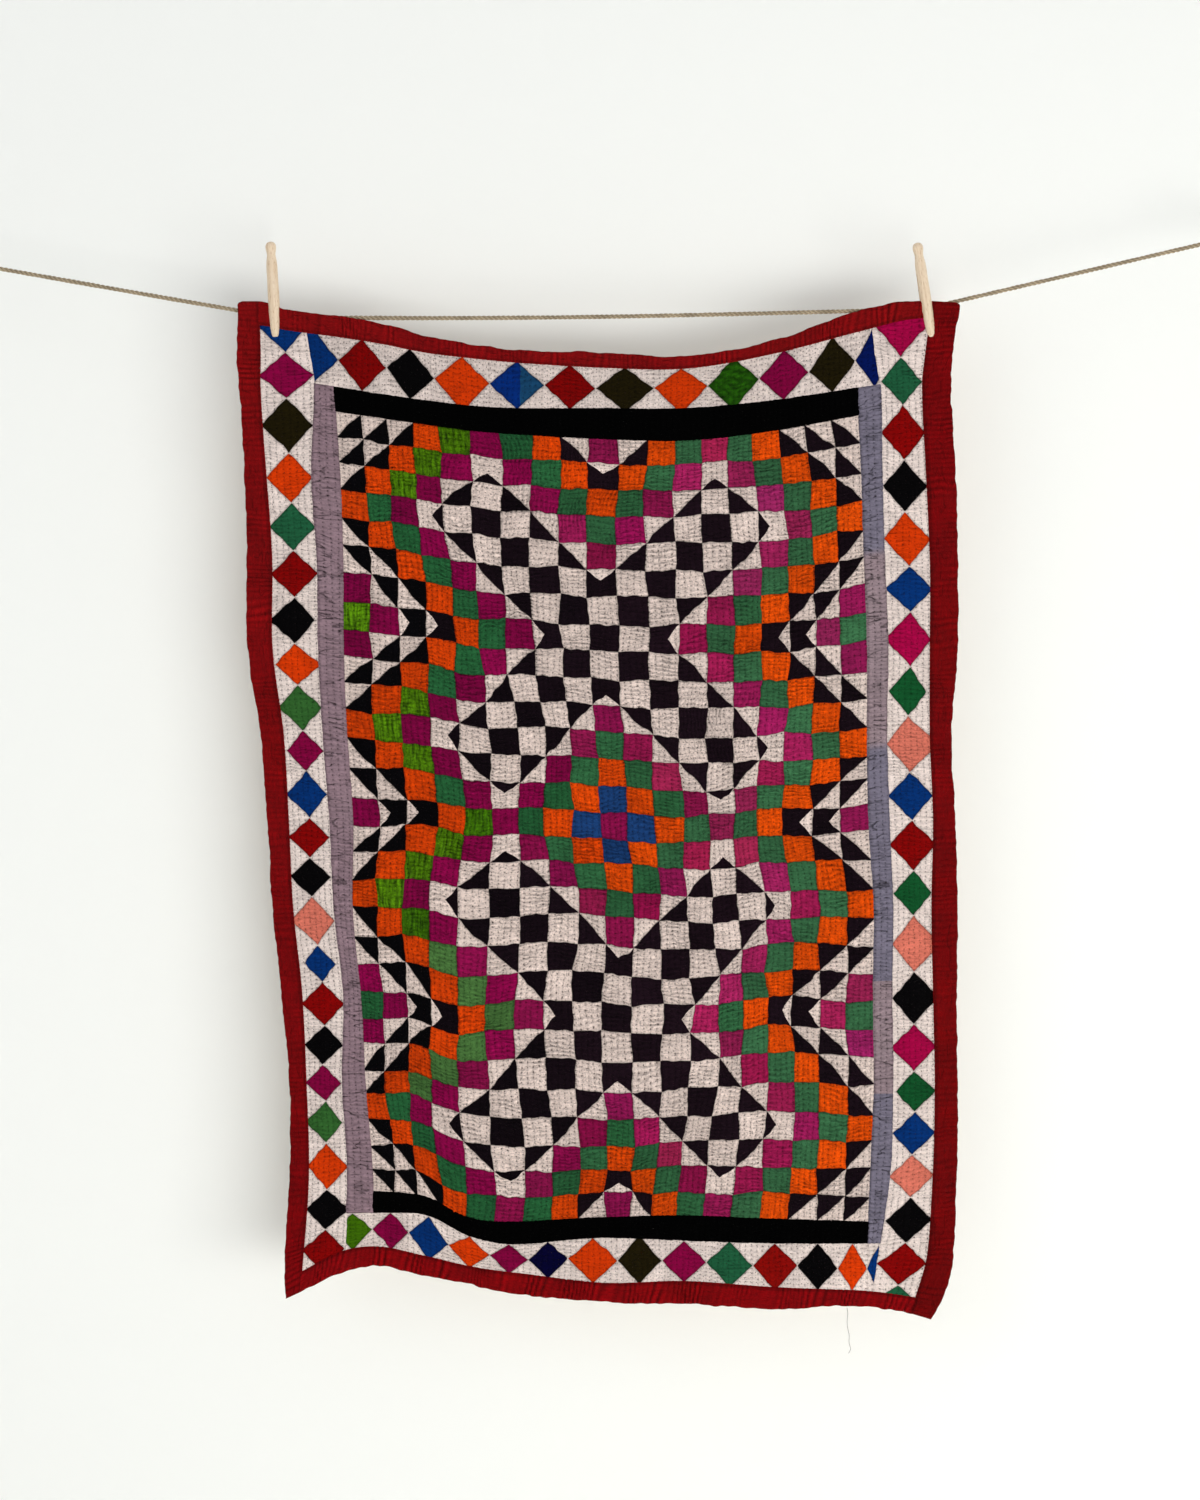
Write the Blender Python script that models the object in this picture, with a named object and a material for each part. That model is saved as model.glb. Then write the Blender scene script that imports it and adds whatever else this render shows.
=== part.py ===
"""A ralli quilt pegged to a clothes line: a Blender script that models every sewn panel and strip.

All lengths in the tables are millimetres. "across" runs to the right from the quilt's centre line,
"down" runs down from its top corners, and "forward" runs towards whoever looks at the patchwork.
The scene itself is in metres, +Z up, with its origin where the line's left loop bears on its hook.
"""

from collections import namedtuple
from math import atan2, cos, exp, hypot, pi, radians, sin

import bmesh
import bpy
from mathutils import Matrix, Vector

MM = 0.001

# --- driving dimensions -----------------------------------------------------------------------
HOOK_ACROSS = 766.9          # each loop's bearing point lies about so far from the quilt's centre line
HOOK_DOWN = -50.4            # the left bearing point lies above the quilt's top corners
LINE_DIAMETER = 5.2
CLOTH_THICKNESS = 3.0
SEAM_GAP = 0.3               # between two sewn pieces, and between a peg and what it grips
LINE_GAP = 0.4               # between the line and the back of the cloth
FIELD_COLUMNS = 19
FIELD_ROWS = 29
FLAT_TOP = 60.0              # down to here the cloth lies flat, gripped by the pegs
FOLDS_FULL = 230.0           # from here down the folds have their whole depth
MIDDLE_DOWN = 600.0          # where the search for a seam crossing starts
MEETING_ROUNDS = 9           # enough rounds for that search to settle

PEG_LENGTH = 110.0
SLOT_TOP = 38.0              # from the peg's head to the top of its slot
SLOT_HALF_TOP = 2.3
SLOT_HALF_MOUTH = 3.2
PRONG_SPREAD = 1.6           # how far each prong is pushed out where it grips
PRONG_GRIP = 62.0            # from the peg's head to where the cloth starts between the prongs
CUTTER_HALF_DEPTH = 12.0     # the slot's cutter reaches past both sides of the peg
CUTTER_OVERRUN = 5.0         # and past the tips of the prongs
CUTTER_FLARE = 0.6

KNOT_LENGTH = 19.0
KNOT_RADIUS = 7.8
KNOT_ROUNDING = 2.6

# --- seams that run down the quilt: where each lies across, at each height -----------------------
DownSeams = namedtuple(
    "DownSeams", "down edge_left red_left lavender_left field_left"
                 " field_right lavender_right red_right edge_right")
DOWN_SEAMS = [
    DownSeams(0, -416, -394, -343, -313, 293, 310, 384, 415),
    DownSeams(60, -418, -392, -334, -310, 295, 316, 376, 406),
    DownSeams(100, -415, -392, -328, -307, 297, 322, 372, 404),
    DownSeams(200, -409, -385, -330, -300, 301, 323, 376, 409),
    DownSeams(300, -408, -379, -324, -296, 304, 326, 382, 414),
    DownSeams(400, -407, -379, -323, -296, 308, 330, 382, 414),
    DownSeams(500, -392, -366, -318, -292, 308, 329, 382, 407),
    DownSeams(600, -384, -360, -310, -285, 310, 332, 386, 411),
    DownSeams(700, -378, -355, -305, -285, 316, 336, 384, 414),
    DownSeams(800, -367, -344, -294, -275, 315, 335, 386, 413),
    DownSeams(900, -357, -339, -295, -270, 316, 336, 388, 414),
    DownSeams(1000, -357, -336, -289, -262, 312, 333, 386, 413),
    DownSeams(1100, -361, -341, -293, -262, 308, 321, 379, 408),
    DownSeams(1150, -359, -344, -296, -262, 305, 315, 366, 396),
    DownSeams(1190, -357, -344, -296, -262, 303, 311, 354, 374),
]

# --- seams that run across the quilt: how far down each lies, at each place across ----------------
AcrossSeams = namedtuple(
    "AcrossSeams", "across edge_top red_top black_top field_top"
                   " field_bottom black_bottom red_bottom edge_bottom")
ACROSS_SEAMS = [
    AcrossSeams(-420, 1, 25, 88, 113, 1024, 1046, 1140, 1160),
    AcrossSeams(-385, 2, 28, 90, 116, 1024, 1046, 1133, 1153),
    AcrossSeams(-360, 11, 33, 92, 119, 1024, 1046, 1125, 1145),
    AcrossSeams(-300, 18, 41, 101, 128, 1024, 1048, 1095, 1119),
    AcrossSeams(-250, 27, 49, 109, 135, 1025, 1049, 1091, 1111),
    AcrossSeams(-200, 41, 59, 116, 142, 1031, 1051, 1101, 1122),
    AcrossSeams(-150, 50, 65, 122, 149, 1056, 1076, 1113, 1133),
    AcrossSeams(-100, 57, 70, 125, 153, 1062, 1086, 1121, 1144),
    AcrossSeams(0, 60, 76, 125, 158, 1057, 1079, 1133, 1154),
    AcrossSeams(100, 64, 77, 125, 160, 1053, 1080, 1129, 1154),
    AcrossSeams(200, 46, 60, 116, 149, 1057, 1083, 1136, 1159),
    AcrossSeams(300, 11, 34, 101, 131, 1061, 1085, 1143, 1160),
    AcrossSeams(360, 1, 20, 92, 120, 1063, 1086, 1151, 1169),
    AcrossSeams(420, 3, 20, 90, 118, 1064, 1087, 1163, 1189),
]

# --- soft folds: ridges come forward, troughs (negative) go back ---------------------------------
Fold = namedtuple("Fold", "name start_across start_down end_across end_down width forward")
FOLDS = [
    Fold("drape from the left peg", -370, 120, -160, 520, 70, 9),
    Fold("drape from the right peg", 372, 120, 190, 500, 70, 8),
    Fold("slack belly under the sag", 20, 200, 10, 420, 130, -7),
    Fold("left edge turned back", -430, 250, -395, 760, 45, -12),
    Fold("right edge turned back", 432, 300, 432, 1040, 62, -19),
    Fold("ridge along the right border", 350, 330, 352, 980, 34, 5),
    Fold("low left swell", -230, 700, -250, 1000, 80, 10),
    Fold("middle trough", -60, 620, -40, 1160, 75, -8),
    Fold("low right swell", 130, 760, 150, 1180, 85, 7),
    Fold("bottom left corner curled forward", -395, 1180, -330, 1120, 60, 20),
    Fold("crease beside the curled corner", -300, 1150, -250, 1060, 30, -9),
    Fold("bottom right corner drawn back", 400, 1200, 330, 1140, 60, -13),
]

# --- the clothes line: points by hand, down its own middle -----------------------------------------
LinePoint = namedtuple("LinePoint", "across down")
LINE_ROUTE = [
    LinePoint(-712, -40.7), LinePoint(-640, -28.0), LinePoint(-560, -13.9), LinePoint(-490, -1.6),
    LinePoint(-430, 8.7), LinePoint(-395, 14.8), LinePoint(-373, 17.8), LinePoint(-350, 18.8),
    LinePoint(-290, 19.4), LinePoint(-200, 19.8), LinePoint(-100, 19.4), LinePoint(0, 18.3),
    LinePoint(110, 16.2), LinePoint(220, 13.6), LinePoint(310, 11.2), LinePoint(355, 9.9),
    LinePoint(378, 7.6), LinePoint(400, 3.0), LinePoint(440, -6.3), LinePoint(510, -22.6),
    LinePoint(590, -41.2), LinePoint(650, -55.2), LinePoint(712, -69.6),
]
LINE_SAMPLES = 74
ROPE_SIDES = 8

# one leg of the loop at each end, from the middle of its knot to its far end
LoopPoint = namedtuple("LoopPoint", "back aside")
LOOP_ROUTE = [
    LoopPoint(0, 3.2), LoopPoint(9, 3.7), LoopPoint(20, 7.4), LoopPoint(32, 11.2),
    LoopPoint(43, 9.6), LoopPoint(48.5, 0.0),
]
LOOP_STEPS = 30

Peg = namedtuple("Peg", "name head_across head_down lean")
PEGS = [
    Peg("peg_left", -379.5, -67.6, 3.2),
    Peg("peg_right", 365.2, -66.4, 8.4),
]

# --- how the pieces stack front to back, forward of the line's middle --------------------------------
CLOTH_BACK = LINE_DIAMETER / 2 + LINE_GAP
CLOTH_FRONT = CLOTH_BACK + CLOTH_THICKNESS
GRIP_FRONT = CLOTH_FRONT + SEAM_GAP
GRIP_BACK = -(LINE_DIAMETER / 2 + SEAM_GAP)
PEG_FORWARD = (GRIP_FRONT + GRIP_BACK) / 2


def place(across, down, forward):
    """Turn quilt measurements into a point of the scene, in metres."""
    return Vector(((across + HOOK_ACROSS) * MM, -forward * MM, (HOOK_DOWN - down) * MM))


def material(name, colour, roughness):
    """A plain finish of one colour."""
    made = bpy.data.materials.new(name)
    made.use_nodes = True
    shader = made.node_tree.nodes["Principled BSDF"]
    shader.inputs["Base Color"].default_value = (*colour, 1.0)
    shader.inputs["Roughness"].default_value = roughness
    shader.inputs["Metallic"].default_value = 0.0
    return made


def add_object(name, mesh, finish):
    """Put a mesh into the scene under its own name and finish."""
    made = bpy.data.objects.new(name, mesh)
    mesh.materials.append(finish)
    bpy.context.collection.objects.link(made)
    return made


# --- reading the tables --------------------------------------------------------------------------
def soft_step(value):
    """0 below 0, 1 above 1, and a smooth rise between."""
    held = min(max(value, 0.0), 1.0)
    return held * held * (3.0 - 2.0 * held)


def smooth_through(stations, values, where):
    """Read a Catmull-Rom curve through the stations of a table."""
    where = min(max(where, stations[0]), stations[-1])
    last = len(stations) - 1
    here = max(index for index in range(last) if stations[index] <= where)
    before, after, beyond = max(here - 1, 0), here + 1, min(here + 2, last)
    span = stations[after] - stations[here]
    step = (where - stations[here]) / span
    slope_here = (values[after] - values[before]) / (stations[after] - stations[before]) * span
    slope_after = (values[beyond] - values[here]) / (stations[beyond] - stations[here]) * span
    rise = values[after] - values[here]
    return (values[here] + slope_here * step
            + (3 * rise - 2 * slope_here - slope_after) * step ** 2
            + (slope_here + slope_after - 2 * rise) * step ** 3)


def seam_position(table, line, where):
    """Where one seam of a table lies at a station; line may fall between two seams."""
    stations = [row[0] for row in table]
    seam = min(int(line), len(table[0]) - 3)
    share = line - seam
    near = smooth_through(stations, [row[1 + seam] for row in table], where)
    far = smooth_through(stations, [row[2 + seam] for row in table], where)
    return near + share * (far - near)


def on_quilt(column, row):
    """Across and down of the point where a line down the quilt crosses a line across it."""
    across, down = 0.0, MIDDLE_DOWN
    for _ in range(MEETING_ROUNDS):
        across = seam_position(DOWN_SEAMS, column, down)
        down = seam_position(ACROSS_SEAMS, row, across)
    return across, down


def fold_depth(across, down):
    """How far the folds push the cloth forward here."""
    total = 0.0
    for fold in FOLDS:
        run = (fold.end_across - fold.start_across, fold.end_down - fold.start_down)
        to_here = (across - fold.start_across, down - fold.start_down)
        share = (to_here[0] * run[0] + to_here[1] * run[1]) / (run[0] ** 2 + run[1] ** 2)
        share = min(max(share, 0.0), 1.0)
        away = hypot(to_here[0] - share * run[0], to_here[1] - share * run[1])
        total += fold.forward * exp(-(away / fold.width) ** 2)
    return total * soft_step((down - FLAT_TOP) / (FOLDS_FULL - FLAT_TOP))


# --- sewn panels and strips --------------------------------------------------------------------------
def divisions(first, last, counts):
    """Grid lines from one seam to another, with so many divisions between each pair of seams."""
    lines = []
    for seam in range(first, last):
        lines += [seam + step / counts[seam] for step in range(counts[seam])]
    return lines + [float(last)]


COLUMN_COUNTS = (1, 2, 1, FIELD_COLUMNS, 1, 2, 1)
ROW_COUNTS = (1, 2, 1, FIELD_ROWS, 1, 2, 1)


def panel(name, left, right, top, bottom, finish):
    """One sewn piece as a closed sheet between two seams down and two seams across the quilt."""
    columns = divisions(left, right, COLUMN_COUNTS)
    rows = divisions(top, bottom, ROW_COUNTS)
    shell = bmesh.new()
    front, back = [], []
    for row in rows:
        front.append([])
        back.append([])
        for column in columns:
            across, down = on_quilt(column, row)
            forward = CLOTH_BACK + fold_depth(across, down)
            across += SEAM_GAP / 2 * ((column == left) - (column == right))
            down += SEAM_GAP / 2 * ((row == top) - (row == bottom))
            back[-1].append(shell.verts.new(place(across, down, forward)))
            front[-1].append(shell.verts.new(place(across, down, forward + CLOTH_THICKNESS)))
    for r in range(len(rows) - 1):
        for c in range(len(columns) - 1):
            shell.faces.new((front[r][c], front[r + 1][c], front[r + 1][c + 1], front[r][c + 1]))
            shell.faces.new((back[r][c], back[r][c + 1], back[r + 1][c + 1], back[r + 1][c]))
    for r in range(len(rows) - 1):
        shell.faces.new((front[r][0], back[r][0], back[r + 1][0], front[r + 1][0]))
        shell.faces.new((front[r][-1], front[r + 1][-1], back[r + 1][-1], back[r][-1]))
    for c in range(len(columns) - 1):
        shell.faces.new((front[0][c], front[0][c + 1], back[0][c + 1], back[0][c]))
        shell.faces.new((front[-1][c], back[-1][c], back[-1][c + 1], front[-1][c + 1]))
    mesh = bpy.data.meshes.new(name)
    shell.to_mesh(mesh)
    shell.free()
    return add_object(name, mesh, finish)


# --- pegs ---------------------------------------------------------------------------------------
ProfilePoint = namedtuple("ProfilePoint", "from_head radius")
PEG_PROFILE = [
    ProfilePoint(0.0, 2.6), ProfilePoint(1.4, 4.6), ProfilePoint(4.0, 5.9), ProfilePoint(8.0, 5.9),
    ProfilePoint(11.5, 4.9), ProfilePoint(14.5, 4.4), ProfilePoint(18.0, 4.8),
    ProfilePoint(23.5, 6.2), ProfilePoint(30.0, 6.4), ProfilePoint(44.0, 6.5),
    ProfilePoint(56.0, 6.5), ProfilePoint(68.0, 6.5), ProfilePoint(80.0, 6.5),
    ProfilePoint(92.0, 6.3), ProfilePoint(101.0, 5.5), ProfilePoint(107.0, 4.5),
    ProfilePoint(110.0, 3.4),
]
PEG_SIDES = 16


def prong_push(from_head):
    """How far a prong is pushed out of line at this distance from the head."""
    return PRONG_SPREAD * soft_step((from_head - SLOT_TOP) / (PRONG_GRIP - SLOT_TOP))


def peg_body(name, finish):
    """A turned peg in its own frame: head at the origin, prongs hanging down -Z."""
    shell = bmesh.new()
    rings = []
    for from_head, radius in PEG_PROFILE:
        ring = []
        for side in range(PEG_SIDES):
            angle = 2 * pi * (side + 0.5) / PEG_SIDES
            push = prong_push(from_head) * (1 if sin(angle) > 0 else -1)
            ring.append(shell.verts.new((radius * cos(angle) * MM,
                                         (radius * sin(angle) + push) * MM, -from_head * MM)))
        rings.append(ring)
    shell.faces.new(rings[0])
    shell.faces.new(list(reversed(rings[-1])))
    for upper, lower in zip(rings, rings[1:]):
        for side in range(PEG_SIDES):
            after = (side + 1) % PEG_SIDES
            shell.faces.new((upper[side], lower[side], lower[after], upper[after]))
    mesh = bpy.data.meshes.new(name)
    shell.to_mesh(mesh)
    shell.free()
    return add_object(name, mesh, finish)


def slot_cutter(name):
    """The saw cut between the prongs: round at its top and open at the tips."""
    half_width = [(SLOT_TOP - SLOT_HALF_TOP * sin(turn * pi / 8), SLOT_HALF_TOP * cos(turn * pi / 8))
                  for turn in (3, 2, 1, 0)]
    for share in (0.25, 0.5, 0.75, 1.0):
        from_head = SLOT_TOP + share * (PRONG_GRIP - SLOT_TOP)
        wide = SLOT_HALF_TOP + share * (SLOT_HALF_MOUTH - SLOT_HALF_TOP)
        half_width.append((from_head, wide + prong_push(from_head)))
    half_width.append((PEG_LENGTH + CUTTER_OVERRUN, half_width[-1][1] + CUTTER_FLARE))
    outline = [(-wide, from_head) for from_head, wide in half_width]
    outline += [(wide, from_head) for from_head, wide in reversed(half_width)]
    shell = bmesh.new()
    near = -CUTTER_HALF_DEPTH * MM
    face = shell.faces.new([shell.verts.new((near, y * MM, -z * MM)) for y, z in outline])
    pushed = bmesh.ops.extrude_face_region(shell, geom=[face])
    moved = [item for item in pushed["geom"] if isinstance(item, bmesh.types.BMVert)]
    bmesh.ops.translate(shell, verts=moved, vec=(2 * CUTTER_HALF_DEPTH * MM, 0, 0))
    bmesh.ops.recalc_face_normals(shell, faces=shell.faces)
    mesh = bpy.data.meshes.new(name)
    shell.to_mesh(mesh)
    shell.free()
    cutter = bpy.data.objects.new(name, mesh)
    bpy.context.collection.objects.link(cutter)
    cutter.hide_render = True
    cutter.display_type = "WIRE"
    return cutter


def peg(spec, finish):
    """A slotted peg, leaning as it was pushed on over cloth and line."""
    body = peg_body(spec.name, finish)
    cutter = slot_cutter(spec.name + "_slot")
    cutter.parent = body
    cut = body.modifiers.new("slot", "BOOLEAN")
    cut.operation = "DIFFERENCE"
    cut.object = cutter
    body.location = place(spec.head_across, spec.head_down, PEG_FORWARD)
    body.rotation_euler = (0.0, -radians(spec.lean), 0.0)
    return body


# --- clothes line -------------------------------------------------------------------------------
def line_point(share):
    """A point of the line's smooth route, share running from 0 to 1."""
    stations = [point.across for point in LINE_ROUTE]
    across = stations[0] + share * (stations[-1] - stations[0])
    return across, smooth_through(stations, [point.down for point in LINE_ROUTE], across)


def line_tube(name, finish):
    """The rope between its two knots."""
    curve = bpy.data.curves.new(name, "CURVE")
    curve.dimensions = "3D"
    curve.bevel_depth = LINE_DIAMETER / 2 * MM
    curve.bevel_resolution = 2
    curve.use_fill_caps = True
    spline = curve.splines.new("POLY")
    spline.points.add(LINE_SAMPLES - 1)
    for index, point in enumerate(spline.points):
        across, down = line_point(index / (LINE_SAMPLES - 1))
        point.co = (*place(across, down, 0.0), 1.0)
    return add_object(name, curve, finish)


def loop_centre(where):
    """A point of the loop's middle, where running from 0 at one leg to the last at the other."""
    legs = LOOP_ROUTE + [LoopPoint(point.back, -point.aside) for point in reversed(LOOP_ROUTE[:-1])]
    stations = list(range(len(legs)))
    share = where * stations[-1]
    return Vector((-smooth_through(stations, [leg.back for leg in legs], share) * MM, 0.0,
                   smooth_through(stations, [leg.aside for leg in legs], share) * MM))


def loop_tube(name):
    """The bent rope of a loop, both of its ends inside the knot."""
    centres = [loop_centre(step / LOOP_STEPS) for step in range(LOOP_STEPS + 1)]
    ahead = Vector((0, 1, 0))
    shell = bmesh.new()
    rings = []
    for index, centre in enumerate(centres):
        along = centres[min(index + 1, LOOP_STEPS)] - centres[max(index - 1, 0)]
        aside = along.cross(ahead).normalized()
        ring = []
        for side in range(ROPE_SIDES):
            angle = 2 * pi * side / ROPE_SIDES
            spoke = cos(angle) * aside + sin(angle) * ahead
            ring.append(shell.verts.new(centre + LINE_DIAMETER / 2 * MM * spoke))
        rings.append(ring)
    for here, after in zip(rings, rings[1:]):
        for side in range(ROPE_SIDES):
            turn = (side + 1) % ROPE_SIDES
            shell.faces.new((here[side], here[turn], after[turn], after[side]))
    shell.faces.new(rings[0])
    shell.faces.new(rings[-1])
    bmesh.ops.recalc_face_normals(shell, faces=shell.faces)
    mesh = bpy.data.meshes.new(name)
    shell.to_mesh(mesh)
    shell.free()
    return mesh


def knot_lump(name):
    """The stout round body of a tightened knot, its length along X."""
    shell = bmesh.new()
    bmesh.ops.create_cone(shell, cap_ends=True, segments=12, radius1=KNOT_RADIUS * MM,
                          radius2=KNOT_RADIUS * MM, depth=KNOT_LENGTH * MM,
                          matrix=Matrix.Rotation(pi / 2, 4, "Y"))
    rims = [edge for face in shell.faces if len(face.verts) > 4 for edge in face.edges]
    bmesh.ops.bevel(shell, geom=rims, offset=KNOT_ROUNDING * MM, segments=2, profile=0.5,
                    affect="EDGES", clamp_overlap=True)
    mesh = bpy.data.meshes.new(name)
    shell.to_mesh(mesh)
    shell.free()
    lump = bpy.data.objects.new(name, mesh)
    bpy.context.collection.objects.link(lump)
    lump.hide_render = True
    lump.display_type = "WIRE"
    return lump


def eye(name, end, inward, finish):
    """The knotted loop at one end of the line: a loop of rope drawn into a stout knot."""
    loop = add_object(name, loop_tube(name), finish)
    lump = knot_lump(name + "_knot")
    lump.parent = loop
    join = loop.modifiers.new("knot", "BOOLEAN")
    join.operation = "UNION"
    join.object = lump
    direction = Vector((inward.across - end.across, end.down - inward.down)).normalized()
    away = (KNOT_LENGTH / 2 + SEAM_GAP) * direction
    loop.location = place(end.across - away.x, end.down + away.y, 0.0)
    loop.rotation_euler = (0.0, -atan2(direction.y, direction.x), 0.0)
    return loop


# --- build -------------------------------------------------------------------------------------
for old in list(bpy.data.objects):
    bpy.data.objects.remove(old, do_unlink=True)

RED = (0.24, 0.006, 0.009)
IVORY = (0.69, 0.61, 0.55)
BLACK = (0.006, 0.005, 0.006)
LAVENDER = (0.26, 0.22, 0.27)
PATCHWORK = (0.35, 0.16, 0.14)
PEG_WOOD = (0.80, 0.62, 0.40)
ROPE = (0.37, 0.30, 0.21)

Piece = namedtuple("Piece", "name left right top bottom colour")
PIECES = [
    Piece("binding_left", 0, 1, 0, 7, RED),
    Piece("binding_right", 6, 7, 0, 7, RED),
    Piece("binding_top", 1, 6, 0, 1, RED),
    Piece("binding_bottom", 1, 6, 6, 7, RED),
    Piece("border_left", 1, 2, 1, 6, IVORY),
    Piece("border_right", 5, 6, 1, 6, IVORY),
    Piece("border_top", 2, 5, 1, 2, IVORY),
    Piece("border_bottom", 2, 5, 5, 6, IVORY),
    Piece("lavender_strip_left", 2, 3, 2, 5, LAVENDER),
    Piece("lavender_strip_right", 4, 5, 2, 5, LAVENDER),
    Piece("black_strip_top", 3, 4, 2, 3, BLACK),
    Piece("black_strip_bottom", 3, 4, 4, 5, BLACK),
    Piece("field", 3, 4, 3, 4, PATCHWORK),
]
for piece in PIECES:
    cotton = material(piece.name, piece.colour, 0.85)
    panel(piece.name, piece.left, piece.right, piece.top, piece.bottom, cotton)

for spec in PEGS:
    peg(spec, material(spec.name, PEG_WOOD, 0.55))

line_tube("line", material("line", ROPE, 0.9))
eye("line_eye_left", LINE_ROUTE[0], LINE_ROUTE[1], material("line_eye_left", ROPE, 0.9))
eye("line_eye_right", LINE_ROUTE[-1], LINE_ROUTE[-2], material("line_eye_right", ROPE, 0.9))
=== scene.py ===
# %% [markdown]
# A ralli quilt pegged to a clothes line
#
# A ralli is a bed quilt sewn by hand from small cotton patches. This one has a field of square and
# triangular patches, black and lavender strips round it, a border of diamonds, and red bindings.
# It hangs from a rope by two turned wooden pegs. The frame already holds every sewn piece as a plain
# sheet in its right place, so this lesson gives each piece its patches, its quilting and its thread.

# %% Load the frame
from math import cos, pi, radians, sin

import bpy
import numpy as np
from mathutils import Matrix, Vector


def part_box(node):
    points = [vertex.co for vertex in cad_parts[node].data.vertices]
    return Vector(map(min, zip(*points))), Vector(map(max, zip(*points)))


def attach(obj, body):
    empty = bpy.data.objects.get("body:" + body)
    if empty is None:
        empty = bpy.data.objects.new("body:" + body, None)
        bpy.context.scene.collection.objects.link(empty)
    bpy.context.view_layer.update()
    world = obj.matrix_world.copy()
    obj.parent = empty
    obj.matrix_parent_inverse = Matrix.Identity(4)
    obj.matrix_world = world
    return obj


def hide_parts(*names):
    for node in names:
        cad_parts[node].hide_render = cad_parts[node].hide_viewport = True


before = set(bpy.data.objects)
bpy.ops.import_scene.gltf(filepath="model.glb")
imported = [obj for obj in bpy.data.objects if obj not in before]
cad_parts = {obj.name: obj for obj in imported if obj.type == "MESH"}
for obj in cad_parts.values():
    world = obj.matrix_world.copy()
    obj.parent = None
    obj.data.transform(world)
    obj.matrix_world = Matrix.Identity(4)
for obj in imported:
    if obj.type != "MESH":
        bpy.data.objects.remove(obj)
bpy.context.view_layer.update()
MM = 0.001

# %% [markdown]
# Measuring a quilt
#
# Nothing on a hanging quilt is square, so the pieces are placed by seams. Eight seams run down it and
# eight run across it. A table says where each seam lies, and a smooth curve is read through the
# table. Lengths are millimetres: across from the quilt's centre line, down from its top corners, and
# forward towards whoever looks at it. These are the same tables that the frame was made from.

# %% Seams that run down the quilt and across it
HOOK_ACROSS = 766.9
HOOK_DOWN = -50.4
CLOTH_BACK = 3.0
CLOTH_FRONT = 6.0
FLAT_TOP, FOLDS_FULL = 60.0, 230.0

# down, then the eight seams from the left edge to the right edge
DOWN_SEAMS = np.array([
    (0, -416, -394, -343, -313, 293, 310, 384, 415),
    (60, -418, -392, -334, -310, 295, 316, 376, 406),
    (100, -415, -392, -328, -307, 297, 322, 372, 404),
    (200, -409, -385, -330, -300, 301, 323, 376, 409),
    (300, -408, -379, -324, -296, 304, 326, 382, 414),
    (400, -407, -379, -323, -296, 308, 330, 382, 414),
    (500, -392, -366, -318, -292, 308, 329, 382, 407),
    (600, -384, -360, -310, -285, 310, 332, 386, 411),
    (700, -378, -355, -305, -285, 316, 336, 384, 414),
    (800, -367, -344, -294, -275, 315, 335, 386, 413),
    (900, -357, -339, -295, -270, 316, 336, 388, 414),
    (1000, -357, -336, -289, -262, 312, 333, 386, 413),
    (1100, -361, -341, -293, -262, 308, 321, 379, 408),
    (1150, -359, -344, -296, -262, 305, 315, 366, 396),
    (1190, -357, -344, -296, -262, 303, 311, 354, 374),
], float)

# across, then the eight seams from the top edge to the bottom edge
ACROSS_SEAMS = np.array([
    (-420, 1, 25, 88, 113, 1024, 1046, 1140, 1160),
    (-385, 2, 28, 90, 116, 1024, 1046, 1133, 1153),
    (-360, 11, 33, 92, 119, 1024, 1046, 1125, 1145),
    (-300, 18, 41, 101, 128, 1024, 1048, 1095, 1119),
    (-250, 27, 49, 109, 135, 1025, 1049, 1091, 1111),
    (-200, 41, 59, 116, 142, 1031, 1051, 1101, 1122),
    (-150, 50, 65, 122, 149, 1056, 1076, 1113, 1133),
    (-100, 57, 70, 125, 153, 1062, 1086, 1121, 1144),
    (0, 60, 76, 125, 158, 1057, 1079, 1133, 1154),
    (100, 64, 77, 125, 160, 1053, 1080, 1129, 1154),
    (200, 46, 60, 116, 149, 1057, 1083, 1136, 1159),
    (300, 11, 34, 101, 131, 1061, 1085, 1143, 1160),
    (360, 1, 20, 92, 120, 1063, 1086, 1151, 1169),
    (420, 3, 20, 90, 118, 1064, 1087, 1163, 1189),
], float)

# start across and down, end across and down, width, forward
FOLDS = [
    (-370, 120, -160, 520, 70, 9), (372, 120, 190, 500, 70, 8), (20, 200, 10, 420, 130, -7),
    (-430, 250, -395, 760, 45, -12), (432, 300, 432, 1040, 62, -19), (350, 330, 352, 980, 34, 5),
    (-230, 700, -250, 1000, 80, 10), (-60, 620, -40, 1160, 75, -8), (130, 760, 150, 1180, 85, 7),
    (-395, 1180, -330, 1120, 60, 20), (-300, 1150, -250, 1060, 30, -9),
    (400, 1200, 330, 1140, 60, -13),
]
EDGE_LEFT, RED_LEFT, LAVENDER_LEFT, FIELD_LEFT, FIELD_RIGHT, LAVENDER_RIGHT, RED_RIGHT, EDGE_RIGHT = range(8)
EDGE_TOP, RED_TOP, BLACK_TOP, FIELD_TOP, FIELD_BOTTOM, BLACK_BOTTOM, RED_BOTTOM, EDGE_BOTTOM = range(8)
MIDDLE_DOWN, MEETING_ROUNDS = 600.0, 9
print("stations", len(DOWN_SEAMS), "down and", len(ACROSS_SEAMS), "across, folds", len(FOLDS))


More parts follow.
